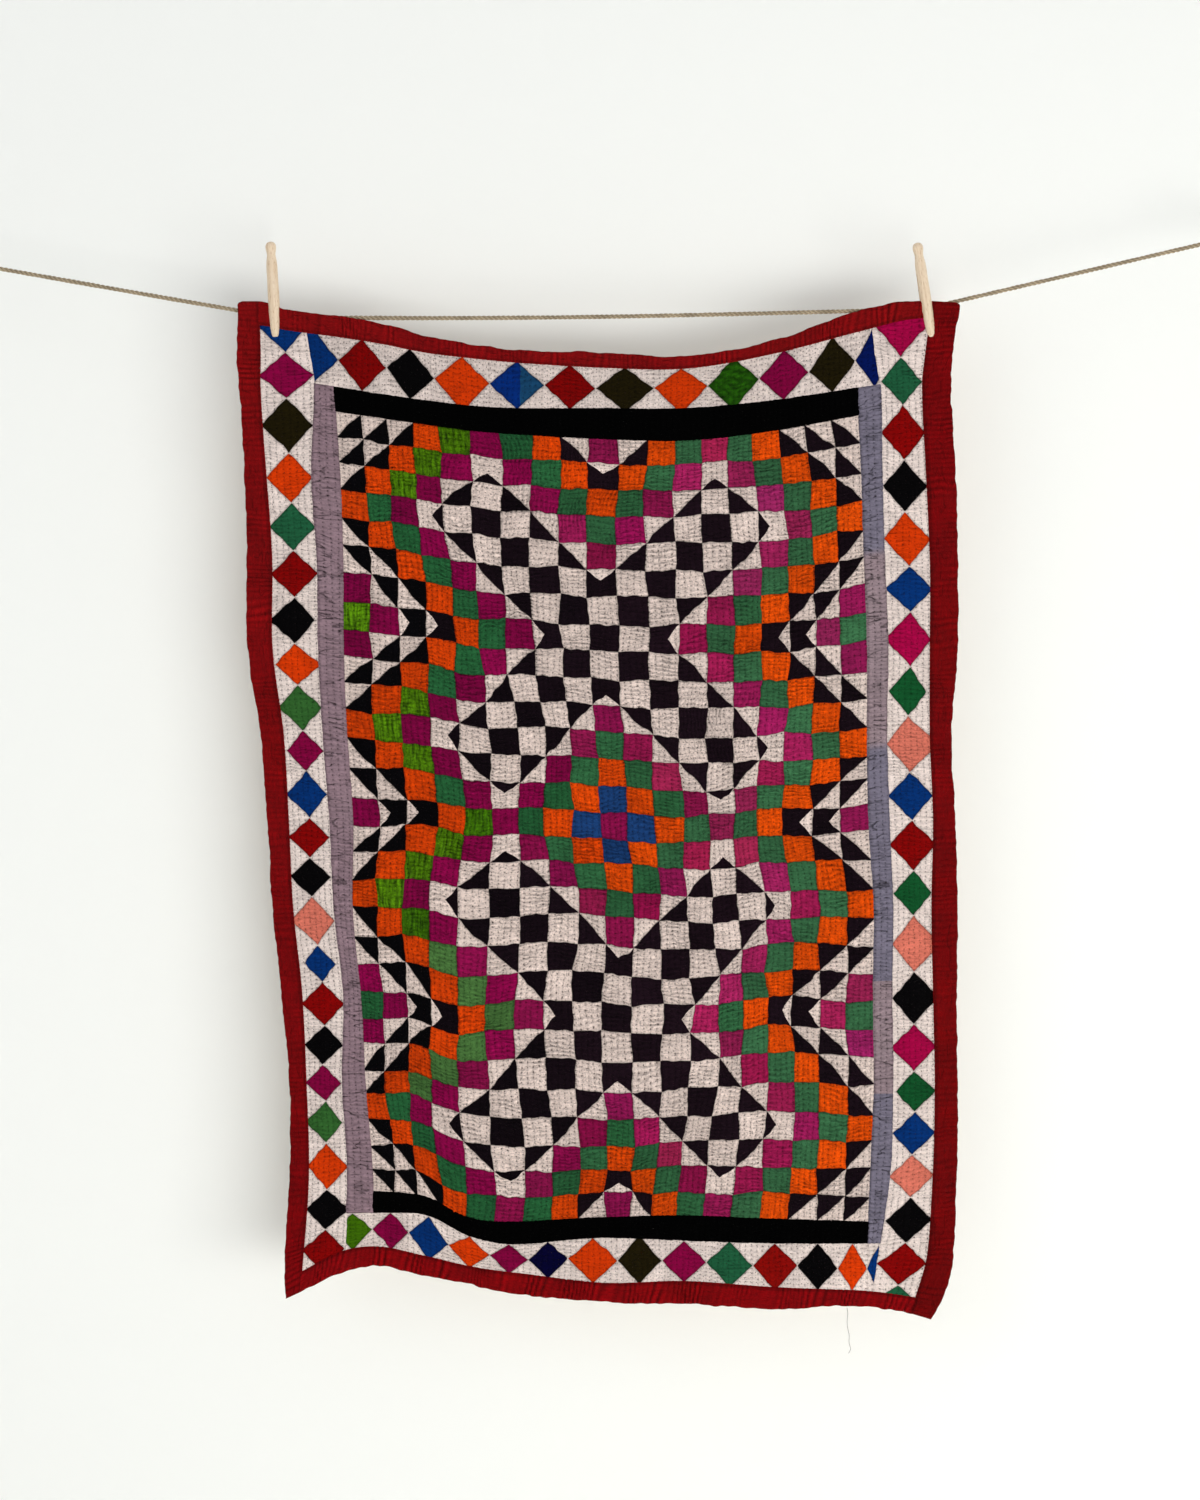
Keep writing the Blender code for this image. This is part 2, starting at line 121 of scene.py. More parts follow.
# %% Read a table, and turn quilt measurements into scene points
def smooth_through(stations, values, where):
    """Read a smooth curve through a table; values may hold several columns."""
    stations, values = np.asarray(stations, float), np.asarray(values, float)
    where = np.clip(np.asarray(where, float), stations[0], stations[-1])
    last = len(stations) - 1
    here = np.clip(np.searchsorted(stations, where, side="right") - 1, 0, last - 1)
    before, after, beyond = np.maximum(here - 1, 0), here + 1, np.minimum(here + 2, last)
    span = stations[after] - stations[here]
    step = (where - stations[here]) / span
    share_here = span / (stations[after] - stations[before])
    share_after = span / (stations[beyond] - stations[here])
    if values.ndim > 1:
        step, share_here, share_after = step[..., None], share_here[..., None], share_after[..., None]
    slope_here = (values[after] - values[before]) * share_here
    slope_after = (values[beyond] - values[here]) * share_after
    rise = values[after] - values[here]
    return (values[here] + slope_here * step + (3 * rise - 2 * slope_here - slope_after) * step ** 2
            + (slope_here + slope_after - 2 * rise) * step ** 3)


def seam_at(table, line, where):
    """Where a seam lies at a station; line may fall between two seams."""
    line, where = np.broadcast_arrays(np.asarray(line, float), np.asarray(where, float))
    seams = smooth_through(table[:, 0], table[:, 1:], where)
    first = np.clip(np.floor(line).astype(int), 0, seams.shape[-1] - 2)
    near = np.take_along_axis(seams, first[..., None], -1)[..., 0]
    far = np.take_along_axis(seams, first[..., None] + 1, -1)[..., 0]
    return near + (line - first) * (far - near)


def part_way(table, first, last, share, where):
    """The place a share of the way from one seam to another, at a station."""
    near, far = seam_at(table, first, where), seam_at(table, last, where)
    return near + share * (far - near)


def meeting(across_at, down_at, shape):
    """Where two lines meet: go from one to the other in turn until both agree."""
    down = np.full(shape, MIDDLE_DOWN)
    for _ in range(MEETING_ROUNDS):
        across = across_at(down)
        down = down_at(across)
    return across, down


def on_quilt(column, row):
    """Across and down of the point where a line down the quilt meets a line across it."""
    column, row = np.broadcast_arrays(np.asarray(column, float), np.asarray(row, float))
    return meeting(lambda down: seam_at(DOWN_SEAMS, column, down),
                   lambda across: seam_at(ACROSS_SEAMS, row, across), column.shape)


def soft_step(value):
    """0 below 0, 1 above 1, and a smooth rise between."""
    held = np.clip(value, 0.0, 1.0)
    return held * held * (3.0 - 2.0 * held)


def fold_depth(across, down):
    """How far the folds push the cloth forward."""
    total = np.zeros(np.shape(across))
    for start_across, start_down, end_across, end_down, width, forward in FOLDS:
        run_across, run_down = end_across - start_across, end_down - start_down
        share = ((across - start_across) * run_across + (down - start_down) * run_down)
        share = np.clip(share / (run_across ** 2 + run_down ** 2), 0.0, 1.0)
        away = np.hypot(across - start_across - share * run_across, down - start_down - share * run_down)
        total = total + forward * np.exp(-(away / width) ** 2)
    return total * soft_step((down - FLAT_TOP) / (FOLDS_FULL - FLAT_TOP))


def place(across, down, forward):
    """Scene points, in metres, for quilt measurements."""
    return np.stack([(across + HOOK_ACROSS) * MM, -forward * MM, (HOOK_DOWN - down) * MM], -1)


for node, left, right, top, bottom in (
        ("field", FIELD_LEFT, FIELD_RIGHT, FIELD_TOP, FIELD_BOTTOM),
        ("border_left", RED_LEFT, LAVENDER_LEFT, RED_TOP, RED_BOTTOM)):
    low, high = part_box(node)
    across, down = on_quilt(np.linspace(left, right, 20)[None, :], np.linspace(top, bottom, 40)[:, None])
    made = place(across, down, fold_depth(across, down))
    print(node, "frame", [round(x, 4) for x in (low[0], high[0], low[2], high[2])],
          "tables", [round(float(x), 4) for x in (made[..., 0].min(), made[..., 0].max(),
                                                   made[..., 2].min(), made[..., 2].max())])

# %% [markdown]
# The camera, the wall and the light
#
# The quilt is seen square on, so the camera stands straight in front of it with a long lens, and
# sees 1.725 metres of height at the cloth. A pale wall stands behind, shown from its front only, so
# that the quilt can be looked at from behind too. One large soft lamp, low on the right, gives the
# quilting its shadows, a weak one on the left softens them, and the sky fills the rest. The wall
# keeps the light off the quilt's back, so a third lamp stands behind the wall. Light linking lets
# its light pass through the wall and fall on everything else.

# %% Camera
VIEW_ACROSS, VIEW_DOWN = 0.0, 517.5
VIEW_HEIGHT = 1.725
VIEW_DISTANCE = 2.9
camera_data = bpy.data.cameras.new("camera")
camera_data.sensor_fit = "VERTICAL"
camera_data.sensor_height = 36.0
camera_data.lens = camera_data.sensor_height * VIEW_DISTANCE / VIEW_HEIGHT
camera = bpy.data.objects.new("camera", camera_data)
camera.location = place(VIEW_ACROSS, VIEW_DOWN, CLOTH_FRONT + VIEW_DISTANCE / MM)
camera.rotation_euler = (pi / 2, 0.0, 0.0)
bpy.context.collection.objects.link(camera)
bpy.context.scene.camera = camera
bpy.context.scene.view_settings.view_transform = "Standard"
print("camera", [round(x, 3) for x in camera.location], "lens", round(camera_data.lens, 1))


# %% Node helpers
def new_finish(name):
    """A material with its shader and a helper that adds and links nodes."""
    made = bpy.data.materials.new(name)
    made.use_nodes = True
    tree = made.node_tree
    shader = tree.nodes["Principled BSDF"]

    def node(kind, settings=(), **links):
        fresh = tree.nodes.new(kind)
        for key, value in settings:
            setattr(fresh, key, value)
        for socket, source in links.items():
            target = fresh.inputs[socket.replace("_", " ")]
            if isinstance(source, bpy.types.NodeSocket):
                tree.links.new(source, target)
            else:
                target.default_value = source
        return fresh

    def link(source, target):
        tree.links.new(source, target)

    return made, shader, node, link


def ramp(node, source, stops):
    """A colour ramp with its stops set by position and colour."""
    made = node("ShaderNodeValToRGB", Fac=source)
    while len(made.color_ramp.elements) < len(stops):
        made.color_ramp.elements.new(0.5)
    for element, (position, colour) in zip(made.color_ramp.elements, stops):
        element.position = position
        element.color = (*colour, 1.0)
    return made


def calculator(node, link):
    """A helper that adds a Math node, fed with numbers or sockets, and gives its result."""
    def sums(operation, *values):
        step = node("ShaderNodeMath", [("operation", operation)])
        for socket, value in zip(step.inputs, values):
            if isinstance(value, bpy.types.NodeSocket):
                link(value, socket)
            else:
                socket.default_value = value
        return step.outputs[0]

    return sums


def noise(node, where, scale=1.0, squash=None, turn=(0.0, 0.0, 0.0), **settings):
    """Smooth noise; squash gives each direction a scale of its own, after a turn."""
    if squash:
        where = node("ShaderNodeMapping", Vector=where, Rotation=turn, Scale=squash).outputs[0]
    return node("ShaderNodeTexNoise", Vector=where, Scale=scale, **settings).outputs["Fac"]


def remap(node, value, low, high, start, end):
    """Turn the range low to high of a value into the range start to end, and hold it beyond."""
    return node("ShaderNodeMapRange", From_Min=low, From_Max=high, To_Min=start, To_Max=end,
                Value=value).outputs[0]


def dye(red, green, blue):
    """A colour named by its everyday 0 to 255 values, as the light that it really sends back."""
    shares = np.array([red, green, blue], float) / 255.0
    return np.where(shares <= 0.04045, shares / 12.92, ((shares + 0.055) / 1.055) ** 2.4)


def blend(first, second, share):
    """A share of the way from one colour or value to another."""
    return first * (1 - share) + second * share


print("the wall's white sends back", dye(249, 249, 244).round(3).tolist())


# %% Wall and floor
def plaster():
    """White plaster, clear from behind so that the quilt can be seen through the wall."""
    made, shader, node, link = new_finish("wall plaster")
    where = node("ShaderNodeTexCoord").outputs["Object"]
    rough = noise(node, where, 9.0, Detail=8.0, Roughness=0.65)
    bump = node("ShaderNodeBump", Strength=0.12, Distance=0.002, Height=rough)
    shader.inputs["Base Color"].default_value = (*dye(249, 249, 244), 1.0)
    shader.inputs["Roughness"].default_value = 0.9
    link(bump.outputs["Normal"], shader.inputs["Normal"])
    clear = node("ShaderNodeBsdfTransparent")
    side = node("ShaderNodeNewGeometry").outputs["Backfacing"]
    mixed = node("ShaderNodeMixShader", Fac=side)
    link(shader.outputs["BSDF"], mixed.inputs[1])
    link(clear.outputs["BSDF"], mixed.inputs[2])
    output = [n for n in made.node_tree.nodes if n.type == "OUTPUT_MATERIAL"][0]
    link(mixed.outputs["Shader"], output.inputs["Surface"])
    return made


WALL_BEHIND, WALL_TOP = 0.11, 1.3
FLOOR_DOWN, FLOOR_FRONT = 1.95, -4.5
HALF_WIDTH = 3.4
SWEEP, SWEEP_STEPS = 0.25, 8
turns = [step * pi / (2 * SWEEP_STEPS) for step in range(SWEEP_STEPS + 1)]
profile = [(WALL_BEHIND, WALL_TOP)]
profile += [(WALL_BEHIND - SWEEP * (1 - cos(turn)), -FLOOR_DOWN + SWEEP * (1 - sin(turn))) for turn in turns]
profile += [(FLOOR_FRONT, -FLOOR_DOWN)]
corners = [(HOOK_ACROSS * MM + side * HALF_WIDTH, y, z) for y, z in profile for side in (-1, 1)]
sweep_faces = [(2 * i, 2 * i + 2, 2 * i + 3, 2 * i + 1) for i in range(len(profile) - 1)]
sweep_mesh = bpy.data.meshes.new("wall_and_floor")
sweep_mesh.from_pydata(corners, [], sweep_faces)
sweep_mesh.materials.append(plaster())
backdrop = bpy.data.objects.new("wall_and_floor", sweep_mesh)
bpy.context.collection.objects.link(backdrop)
backdrop.data.shade_smooth()
print("backdrop normal", backdrop.data.polygons[0].normal[:])


# %% Light
def soft_lamp(name, offset, size, power, colour):
    """A square area lamp that stands off from the middle of the view and faces it."""
    data = bpy.data.lights.new(name, "AREA")
    data.size = size
    data.energy = power
    data.color = colour
    lamp = bpy.data.objects.new(name, data)
    lamp.location = middle + offset
    lamp.rotation_euler = Vector(middle - (middle + offset)).to_track_quat("-Z", "Y").to_euler()
    bpy.context.collection.objects.link(lamp)
    return lamp


middle = place(VIEW_ACROSS, VIEW_DOWN, 0.0)
soft_lamp("window", (1.3, -2.7, -1.7), 3.0, 184.0, (1.0, 0.995, 0.98))
soft_lamp("room", (-2.4, -2.6, 1.2), 2.2, 15.0, (0.96, 0.98, 1.0))
behind = soft_lamp("behind", (0.0, 1.6, 0.3), 2.0, 14.0, (1.0, 1.0, 1.0))
passed = bpy.data.collections.new("passed by the lamp behind")
passed.objects.link(backdrop)
passed.collection_objects[0].light_linking.link_state = "EXCLUDE"
behind.light_linking.receiver_collection = behind.light_linking.blocker_collection = passed
world = bpy.data.worlds.new("sky")
world.use_nodes = True
world.node_tree.nodes["Background"].inputs["Color"].default_value = (0.93, 0.96, 1.0, 1.0)
world.node_tree.nodes["Background"].inputs["Strength"].default_value = 0.55
bpy.context.scene.world = world

# %% [markdown]
# Making meshes from arrays
#
# A quilt has tens of thousands of stitches, and its patches must meet exactly at their seams. So
# each cloth is one grid of points worked out with arrays, and every square of the grid is split into
# two triangles along the seam that crosses it. Each triangle carries its own dye as a colour
# attribute, so a seam between two colours is always sharp; the attribute also holds the shade
# painted at each corner. A UV map holds the cloth's flat measurements, so that the weave follows the
# folds.

# %% Build a mesh piece
def build(name, points, faces, dyes, flats, finish, silk=None, sewn=None):
    """A smooth mesh from points, faces of equal size, and a dye, with its painted shade, and flat place for
    each corner.

    silk says how silky each face is; sewn counts rows and stitches at each corner."""
    mesh = bpy.data.meshes.new(name)
    points, faces = np.asarray(points, np.float32), np.asarray(faces, np.int32)
    count, sides = faces.shape
    mesh.vertices.add(len(points))
    mesh.vertices.foreach_set("co", points.ravel())
    mesh.loops.add(count * sides)
    mesh.loops.foreach_set("vertex_index", faces.ravel())
    mesh.polygons.add(count)
    mesh.polygons.foreach_set("loop_start", np.arange(0, count * sides, sides, dtype=np.int32))
    mesh.polygons.foreach_set("loop_total", np.full(count, sides, np.int32))
    mesh.polygons.foreach_set("use_smooth", np.ones(count, bool))
    mesh.update(calc_edges=True)
    # the colour attribute holds each corner's dye times the shade painted there
    colour = mesh.color_attributes.new("Dye", "FLOAT_COLOR", "CORNER")
    rgba = np.ones((count * sides, 4), np.float32)
    rgba[:, :3] = np.asarray(dyes).reshape(-1, 3)
    colour.data.foreach_set("color", rgba.ravel())
    for title, places in (("Cloth", flats), ("Rows", sewn)):
        if places is not None:
            layer = mesh.uv_layers.new(name=title)
            layer.data.foreach_set("uv", np.asarray(places, np.float32).reshape(-1, 2).ravel())
    if silk is not None:
        gloss = mesh.attributes.new("Silk", "FLOAT", "FACE")
        gloss.data.foreach_set("value", np.asarray(silk, np.float32).ravel())
    mesh.materials.append(finish)
    made = bpy.data.objects.new(name, mesh)
    bpy.context.collection.objects.link(made)
    mesh.validate()
    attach(made, "root")
    return made


def grid_faces(rows, columns, falling):
    """Two triangles for each square of a grid of points, split down to the right where falling."""
    corner = np.arange(rows * columns).reshape(rows, columns)
    a, b = corner[:-1, :-1], corner[:-1, 1:]
    d, c = corner[1:, :-1], corner[1:, 1:]
    falling = np.broadcast_to(falling, a.shape)[..., None]
    first = np.where(falling, np.stack([a, d, c], -1), np.stack([a, d, b], -1))
    second = np.where(falling, np.stack([a, c, b], -1), np.stack([b, d, c], -1))
    return np.stack([first, second], 2)


def by_turns(rows, columns, size=1):
    """Which squares of a grid of points split down to the right: by turns, in blocks of a size."""
    down, across = np.mgrid[0:rows - 1, 0:columns - 1] // size
    return (down + across) % 2 == 0


def face_middles(rows, columns, falling):
    """Where the middle of each triangle lies, counted in squares across and down the grid."""
    down, across = np.mgrid[0:rows - 1, 0:columns - 1].astype(float)
    falling = np.broadcast_to(falling, down.shape)
    first = np.stack([across + 1 / 3, down + np.where(falling, 2 / 3, 1 / 3)], -1)
    second = np.stack([across + 2 / 3, down + np.where(falling, 1 / 3, 2 / 3)], -1)
    return np.stack([first, second], 2)


def cloth(name, points, falling, face_dyes, shade, flat, finish, silk=None, turned=False,
          sewn=None, crosswise=None):
    """One sheet of cloth: a dye for every triangle, shaded at every point.

    sewn is how many rows and stitches along each point lies. crosswise says which triangles are
    quilted the other way: they take their rows and stitches from its second grid."""
    rows, columns = shade.shape
    faces = grid_faces(rows, columns, falling).reshape(-1, 3)
    if turned:
        faces = faces[:, ::-1]
    if sewn is not None:
        upright, *others = [grid.reshape(-1, 2)[faces] for grid in sewn]
        sewn = np.where(crosswise.reshape(-1, 1, 1), others[0], upright) if others else upright
    # the painted shade at each point darkens the dye of the triangles round it
    dyes = np.asarray(face_dyes).reshape(-1, 1, 3) * shade.ravel()[faces][..., None]
    flats = flat.reshape(-1, 2)[faces] * MM
    return build(name, points.reshape(-1, 3), faces, dyes, flats, finish, silk, sewn)


def tell_frame(node, wide, long):
    if node:
        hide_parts(node)


def swell(x, y, wavelength, seed):
    """Smooth random hills, about 1 high, from a few crossing waves."""
    draw = np.random.default_rng(seed)
    total = np.zeros(np.broadcast(x, y).shape)
    for _ in range(7):
        turn, phase = draw.uniform(0, 2 * pi, 2)
        length = wavelength * draw.uniform(0.7, 1.5)
        total = total + np.sin((x * cos(turn) + y * sin(turn)) * 2 * pi / length + phase)
    return total / 2.6


print("helpers ready")

# %% [markdown]
# Cotton
#
# The patches are plain-woven cotton, washed many times. The dye, with the shade painted along seams
# and puckers, comes from the colour attribute. Threads of uneven thickness run both ways and show as
# faint streaks, and the whole cloth is faded in soft clouds. The quilting leaves its own marks: a
# valley along each row, a groove across it at each stitch, a dark dot where the thread goes in, and
# crumples, creases and specks between them; all of them darken the dye as painted shade. They are
# drawn from the count of rows and stitches that each cloth carries, so they follow the rows. Cotton
# hardly shines, so its specular level is low. A few patches are a smoother silky cloth, and their dye
# carries streaks of painted sheen.

# %% Marks that the weave and the quilting leave, and the shade painted into them
def woven_threads(node, sums, flat):
    """Uneven threads that run both ways, and the height of the fine weave that they make."""
    threads = sums("ADD", noise(node, flat, squash=(1500.0, 70.0, 1.0), Detail=2.0),
                   noise(node, flat, squash=(70.0, 1500.0, 1.0), Detail=2.0))
    waves = [node("ShaderNodeTexWave", [("bands_direction", axis)], Vector=flat, Scale=420.0,
                  Distortion=1.5, Detail=1.0).outputs["Fac"] for axis in "XY"]
    return threads, sums("ADD", sums("MAXIMUM", *waves), threads)


def quilting_marks(node, sums, flat, colour, quilted, stray, wrinkled):
    """How deep the quilting draws the cloth in, and how much shade that paints into the dye."""
    rows_map = node("ShaderNodeUVMap", [("uv_map", "Rows")]).outputs["UV"]
    counted = node("ShaderNodeSeparateXYZ", Vector=rows_map)
    row, stitch = counted.outputs["X"], counted.outputs["Y"]

    def closeness(count, sharpness):
        """1 where a count is whole, falling to 0 halfway between."""
        wave = sums("COSINE", sums("MULTIPLY", count, 2 * pi))
        return sums("POWER", sums("MULTIPLY_ADD", wave, 0.5, 0.5), sharpness)

    bent = noise(node, flat, 85.0, Detail=2.0)
    patchy = remap(node, noise(node, flat, 26.0, Detail=1.0), 0.36, 0.62, 0.2 * quilted, 1.0 * quilted)
    valley = sums("MULTIPLY", closeness(row, 3.0), quilted)
    groove = sums("MULTIPLY", closeness(sums("MULTIPLY_ADD", bent, stray, stitch), 2.0), patchy)
    dot = sums("MULTIPLY", closeness(row, 12.0), closeness(stitch, 6.0))

    rumpled = noise(node, flat, squash=(95.0, 300.0, 1.0), turn=(0, 0, 0.25), Detail=3.0, Roughness=0.55)
    crumple = remap(node, rumpled, 0.62, 0.38, 0.0, 0.8 * quilted)
    lines = noise(node, flat, squash=(13.0, 42.0, 1.0), turn=(0, 0, 0.12), Detail=2.5, Roughness=0.6)
    line = remap(node, sums("ABSOLUTE", sums("SUBTRACT", lines, 0.5)), 0.003, 0.013, 1.0, 0.0)
    crease = sums("MULTIPLY", line, remap(node, bent, 0.42, 0.52, 0.0, wrinkled))
    speck = remap(node, noise(node, flat, 520.0, Detail=1.0), 0.53, 0.72, 0.0, 0.95 * quilted)

    along_row = sums("MULTIPLY_ADD", valley, 0.4, sums("MULTIPLY", dot, 0.8))
    depth = sums("MULTIPLY_ADD", crease, 1.2, sums("ADD", along_row, sums("ADD", groove, crumple)))
    # painted shade: the dye darkens in valleys, grooves and crumples, at stitch dots and specks, and along
    # creases
    paleness = node("ShaderNodeRGBToBW", Color=colour).outputs[0]
    seen = remap(node, paleness, 0.02, 0.4, 0.18, 0.46)
    hollow = sums("MULTIPLY_ADD", valley, 0.05, sums("MULTIPLY", crumple, 0.24))
    hollow = sums("MULTIPLY_ADD", groove, 0.20, hollow)
    shade = sums("MULTIPLY_ADD", sums("ADD", dot, speck), seen, hollow)
    return depth, sums("MULTIPLY_ADD", crease, 0.45, shade)


print("marks ready")


# %% Cotton finish
def cotton(name, rough=0.86, slub=0.16, fade=0.10, weave=0.25, shine=0.05, silky=False,
           quilted=1.0, stray=1.6, wrinkled=0.25, lit=1.28):
    """A cotton finish.

    slub and fade say how uneven its threads and its dye are, quilted how strongly the rows draw it
    in and how much shade the quilting paints into the dye, stray how far its grooves wander, wrinkled
    how creased it is, and lit how light its dye looks between the stitches, where no shade is painted.
    Silky patches get streaks of painted sheen."""
    made, shader, node, link = new_finish(name)
    sums = calculator(node, link)
    flat = node("ShaderNodeUVMap", [("uv_map", "Cloth")]).outputs["UV"]
    colour = node("ShaderNodeAttribute", [("attribute_name", "Dye")]).outputs["Color"]
    threads, woven = woven_threads(node, sums, flat)
    cloud = noise(node, flat, 34.0, Detail=5.0, Roughness=0.6)
    light = sums("MULTIPLY", remap(node, threads, 0.6, 1.4, 1 - slub, 1 + slub),
                 remap(node, cloud, 0.3, 0.7, 1 - fade, 1 + fade))
    dull = remap(node, cloud, 0.3, 0.7, rough - 0.06, rough + 0.06)
    bump = node("ShaderNodeBump", Strength=weave, Distance=0.0004, Height=woven)
    if quilted:
        depth, shade = quilting_marks(node, sums, flat, colour, quilted, stray, wrinkled)
        bump = node("ShaderNodeBump", [("invert", True)], Strength=1.0, Distance=0.0015,
                    Height=depth, Normal=bump.outputs["Normal"])
        # the quilting marks darken the dye as painted shade; lit brightens it again between them
        light = sums("MULTIPLY", light, sums("MULTIPLY_ADD", shade, -lit, lit))
    if silky:
        silk = node("ShaderNodeAttribute", [("attribute_name", "Silk")]).outputs["Fac"]
        # painted sheen: light and dark streaks painted into the dye of silky patches
        sheen_streaks = noise(node, flat, squash=(330.0, 55.0, 1.0), Detail=2.0)
        painted_sheen = sums("MULTIPLY", silk, sums("MULTIPLY_ADD", sheen_streaks, 3.2, -1.6))
        light = sums("MULTIPLY", light, sums("ADD", 1.0, painted_sheen))
        dull = sums("MULTIPLY_ADD", silk, -0.42, dull)
    worn_dye_with_painted_shade = node("ShaderNodeVectorMath", [("operation", "SCALE")], Scale=light)
    link(colour, worn_dye_with_painted_shade.inputs[0])
    link(worn_dye_with_painted_shade.outputs[0], shader.inputs["Base Color"])
    link(bump.outputs["Normal"], shader.inputs["Normal"])
    link(dull, shader.inputs["Roughness"])
    shader.inputs["Specular IOR Level"].default_value = shine
    return made


field_cotton = cotton("field patchwork cotton", silky=True)
border_cotton = cotton("border patchwork cotton", quilted=0.6, lit=1.17)
lavender_cotton = cotton("lavender cotton", slub=0.12, fade=0.12, quilted=0.7, wrinkled=1.0, lit=1.25)
black_cotton = cotton("black cotton", shine=0.02)
# worn, faded red cotton; its quilting marks paint shade into the pucker grooves
WORN_SHADED_RED = {"rough": 0.8, "fade": 0.16, "shine": 0.06, "quilted": 0.7, "stray": 0.7}
red_cotton = cotton("red cotton", wrinkled=0.4, lit=1.01, **WORN_SHADED_RED)
gathered_cotton = cotton("gathered red cotton", lit=1.17, **WORN_SHADED_RED)
print("cottons ready")

# %% [markdown]
# The hand quilting
#
# Rows of running stitch go through all the layers, 6.7 mm apart, with a stitch every 5 mm. The
# cloth is drawn down along each row, most of all at a stitch, and puffs up between the rows. The
# same rule gives the depth of the cloth and the place of each stitch, so they always agree. Each
# stitch is a low roof of six triangles, because there are tens of thousands of them.

# %% Rows of quilting
ROW_GAP, STITCH_GAP = 6.7, 5.0
VALLEY_WIDE, DIMPLE_WIDE = 1.9, 1.5
DEEPEST = 1.9
EDGE_SINK, EDGE_REACH = 1.3, 3.5


def row_wander(x, y):
    """How far the rows stray from straight, counted in rows."""
    return 0.10 * swell(x, y, 120, 11) + 0.05 * swell(x, y, 45, 12)


def stitch_wander(x, y):
    """How far the stitches drift along their rows, counted in stitches."""
    return 0.8 * swell(x, y, 140, 16) + 0.25 * swell(x, y, 50, 17)


def sewn_places(x, y):
    """How many rows across and how many stitches along a place lies."""
    return np.stack([x / ROW_GAP + row_wander(x, y), y / STITCH_GAP + stitch_wander(x, y)], -1)


def drawn_in(x, y, strength):
    """Forward and back movement of quilted cloth: low along each row, and lowest at a stitch."""
    off = (sewn_places(x, y) + 0.5) % 1.0 - 0.5
    aside, ahead = off[..., 0] * ROW_GAP, off[..., 1] * STITCH_GAP
    valley = np.exp(-(aside / VALLEY_WIDE) ** 2)
    dimple = np.exp(-(aside / DIMPLE_WIDE) ** 2 - (ahead / DIMPLE_WIDE) ** 2)
    loose = 0.24 * swell(x, y, 26, 14) + 0.16 * swell(x, y, 11, 15)
    return strength * (0.25 - 0.42 * valley - 0.40 * dimple) + loose


def pressed_in(relief, to_edge):
    """Relief that dies out and sinks towards an edge, where the next piece is sewn over it."""
    pressed = np.exp(-(to_edge / EDGE_REACH) ** 2)
    return relief * (1 - pressed) - EDGE_SINK * pressed


sample = drawn_in(*np.mgrid[0:60, 0:60].astype(float), 1.0)
print("quilted cloth lies from", round(float(sample.min()), 2), "to", round(float(sample.max()), 2), "mm")


# %% Running stitches
STITCH_INSET = 1.5
STITCH_HALF_WIDE, STITCH_RISE = 0.52, 0.55
THREAD = dye(38, 26, 28)
thread_finish = cotton("quilting thread", rough=0.7, slub=0.05, fade=0.02, weave=0.05, quilted=0)


def row_stitches(width, length):
    """Places of all the stitches on a flat cloth that size, in rows that run down it."""
    rows = np.arange(1, int(width / ROW_GAP) + 2)
    count = np.arange(-3, int(length / STITCH_GAP) + 4)
    row, number = np.meshgrid(rows, count)
    x, y = row * ROW_GAP, number * STITCH_GAP
    for _ in range(6):
        x, y = ROW_GAP * (row - row_wander(x, y)), STITCH_GAP * (number - stitch_wander(x, y))
    inside = np.minimum(np.minimum(x, width - x), np.minimum(y, length - y)) > STITCH_INSET
    return x[inside], y[inside]


def thread_marks(name, start, end, tops, outward):
    """Short raised stitches: a low four-sided roof over each pair of end points."""
    aside = np.cross(end - start, outward)
    aside = aside / np.maximum(np.linalg.norm(aside, axis=1, keepdims=True), 1e-9) * (STITCH_HALF_WIDE * MM)
    middle = (start + end) / 2
    points = np.stack([start, middle + aside, end, middle - aside, tops], 1).reshape(-1, 3)
    roof = np.array([(0, 1, 4), (1, 2, 4), (2, 3, 4), (3, 0, 4), (0, 2, 1), (0, 3, 2)])
    faces = ((np.arange(len(start)) * 5)[:, None, None] + roof[None]).reshape(-1, 3)
    dyes, flats = np.broadcast_to(THREAD, (len(faces), 3, 3)), np.zeros((len(faces), 3, 2))
    return build(name, points, faces, dyes, flats, thread_finish)


def sew(name, slot, spread, lift, x, y, upright=True, length=1.3, back=False):
    """Lay stitches at flat places x, y on a cloth, along its rows."""
    draw = np.random.default_rng(len(x))
    reach = length / 2 * draw.uniform(0.7, 1.3, len(x))
    x, y = x + draw.normal(0, 0.4, len(x)), y + draw.normal(0, 0.45, len(x))
    step_x, step_y = np.where(upright, 0.0, reach), np.where(upright, reach, 0.0)
    facing = -1.0 if back else 1.0

    def point(dx, dy, rise):
        across, down = spread(x + dx, y + dy)
        level = (CLOTH_BACK if back else CLOTH_FRONT) + fold_depth(across, down)
        return place(across, down, level + facing * (lift(x + dx, y + dy) + rise))

    made = thread_marks(name, point(-step_x, -step_y, 0.0), point(step_x, step_y, 0.0),
                        point(0 * x, 0 * y, STITCH_RISE), np.array([0.0, -facing, 0.0]))
    print(name, len(x), "stitches")


print("stitch every", STITCH_GAP, "mm, rows every", ROW_GAP, "mm")

# %% [markdown]
# The patches of the field
#
# The field is 19 patches wide and 29 deep, and the same on its left and right. Three diamonds of
# coloured rings sit at its top, middle and bottom, bands of colour zigzag down both sides, and
# black and white checks fill the medallions between. Every patch follows from how many steps it
# lies from the middle column and from the nearest diamond, so a short rule gives all 551 of them.

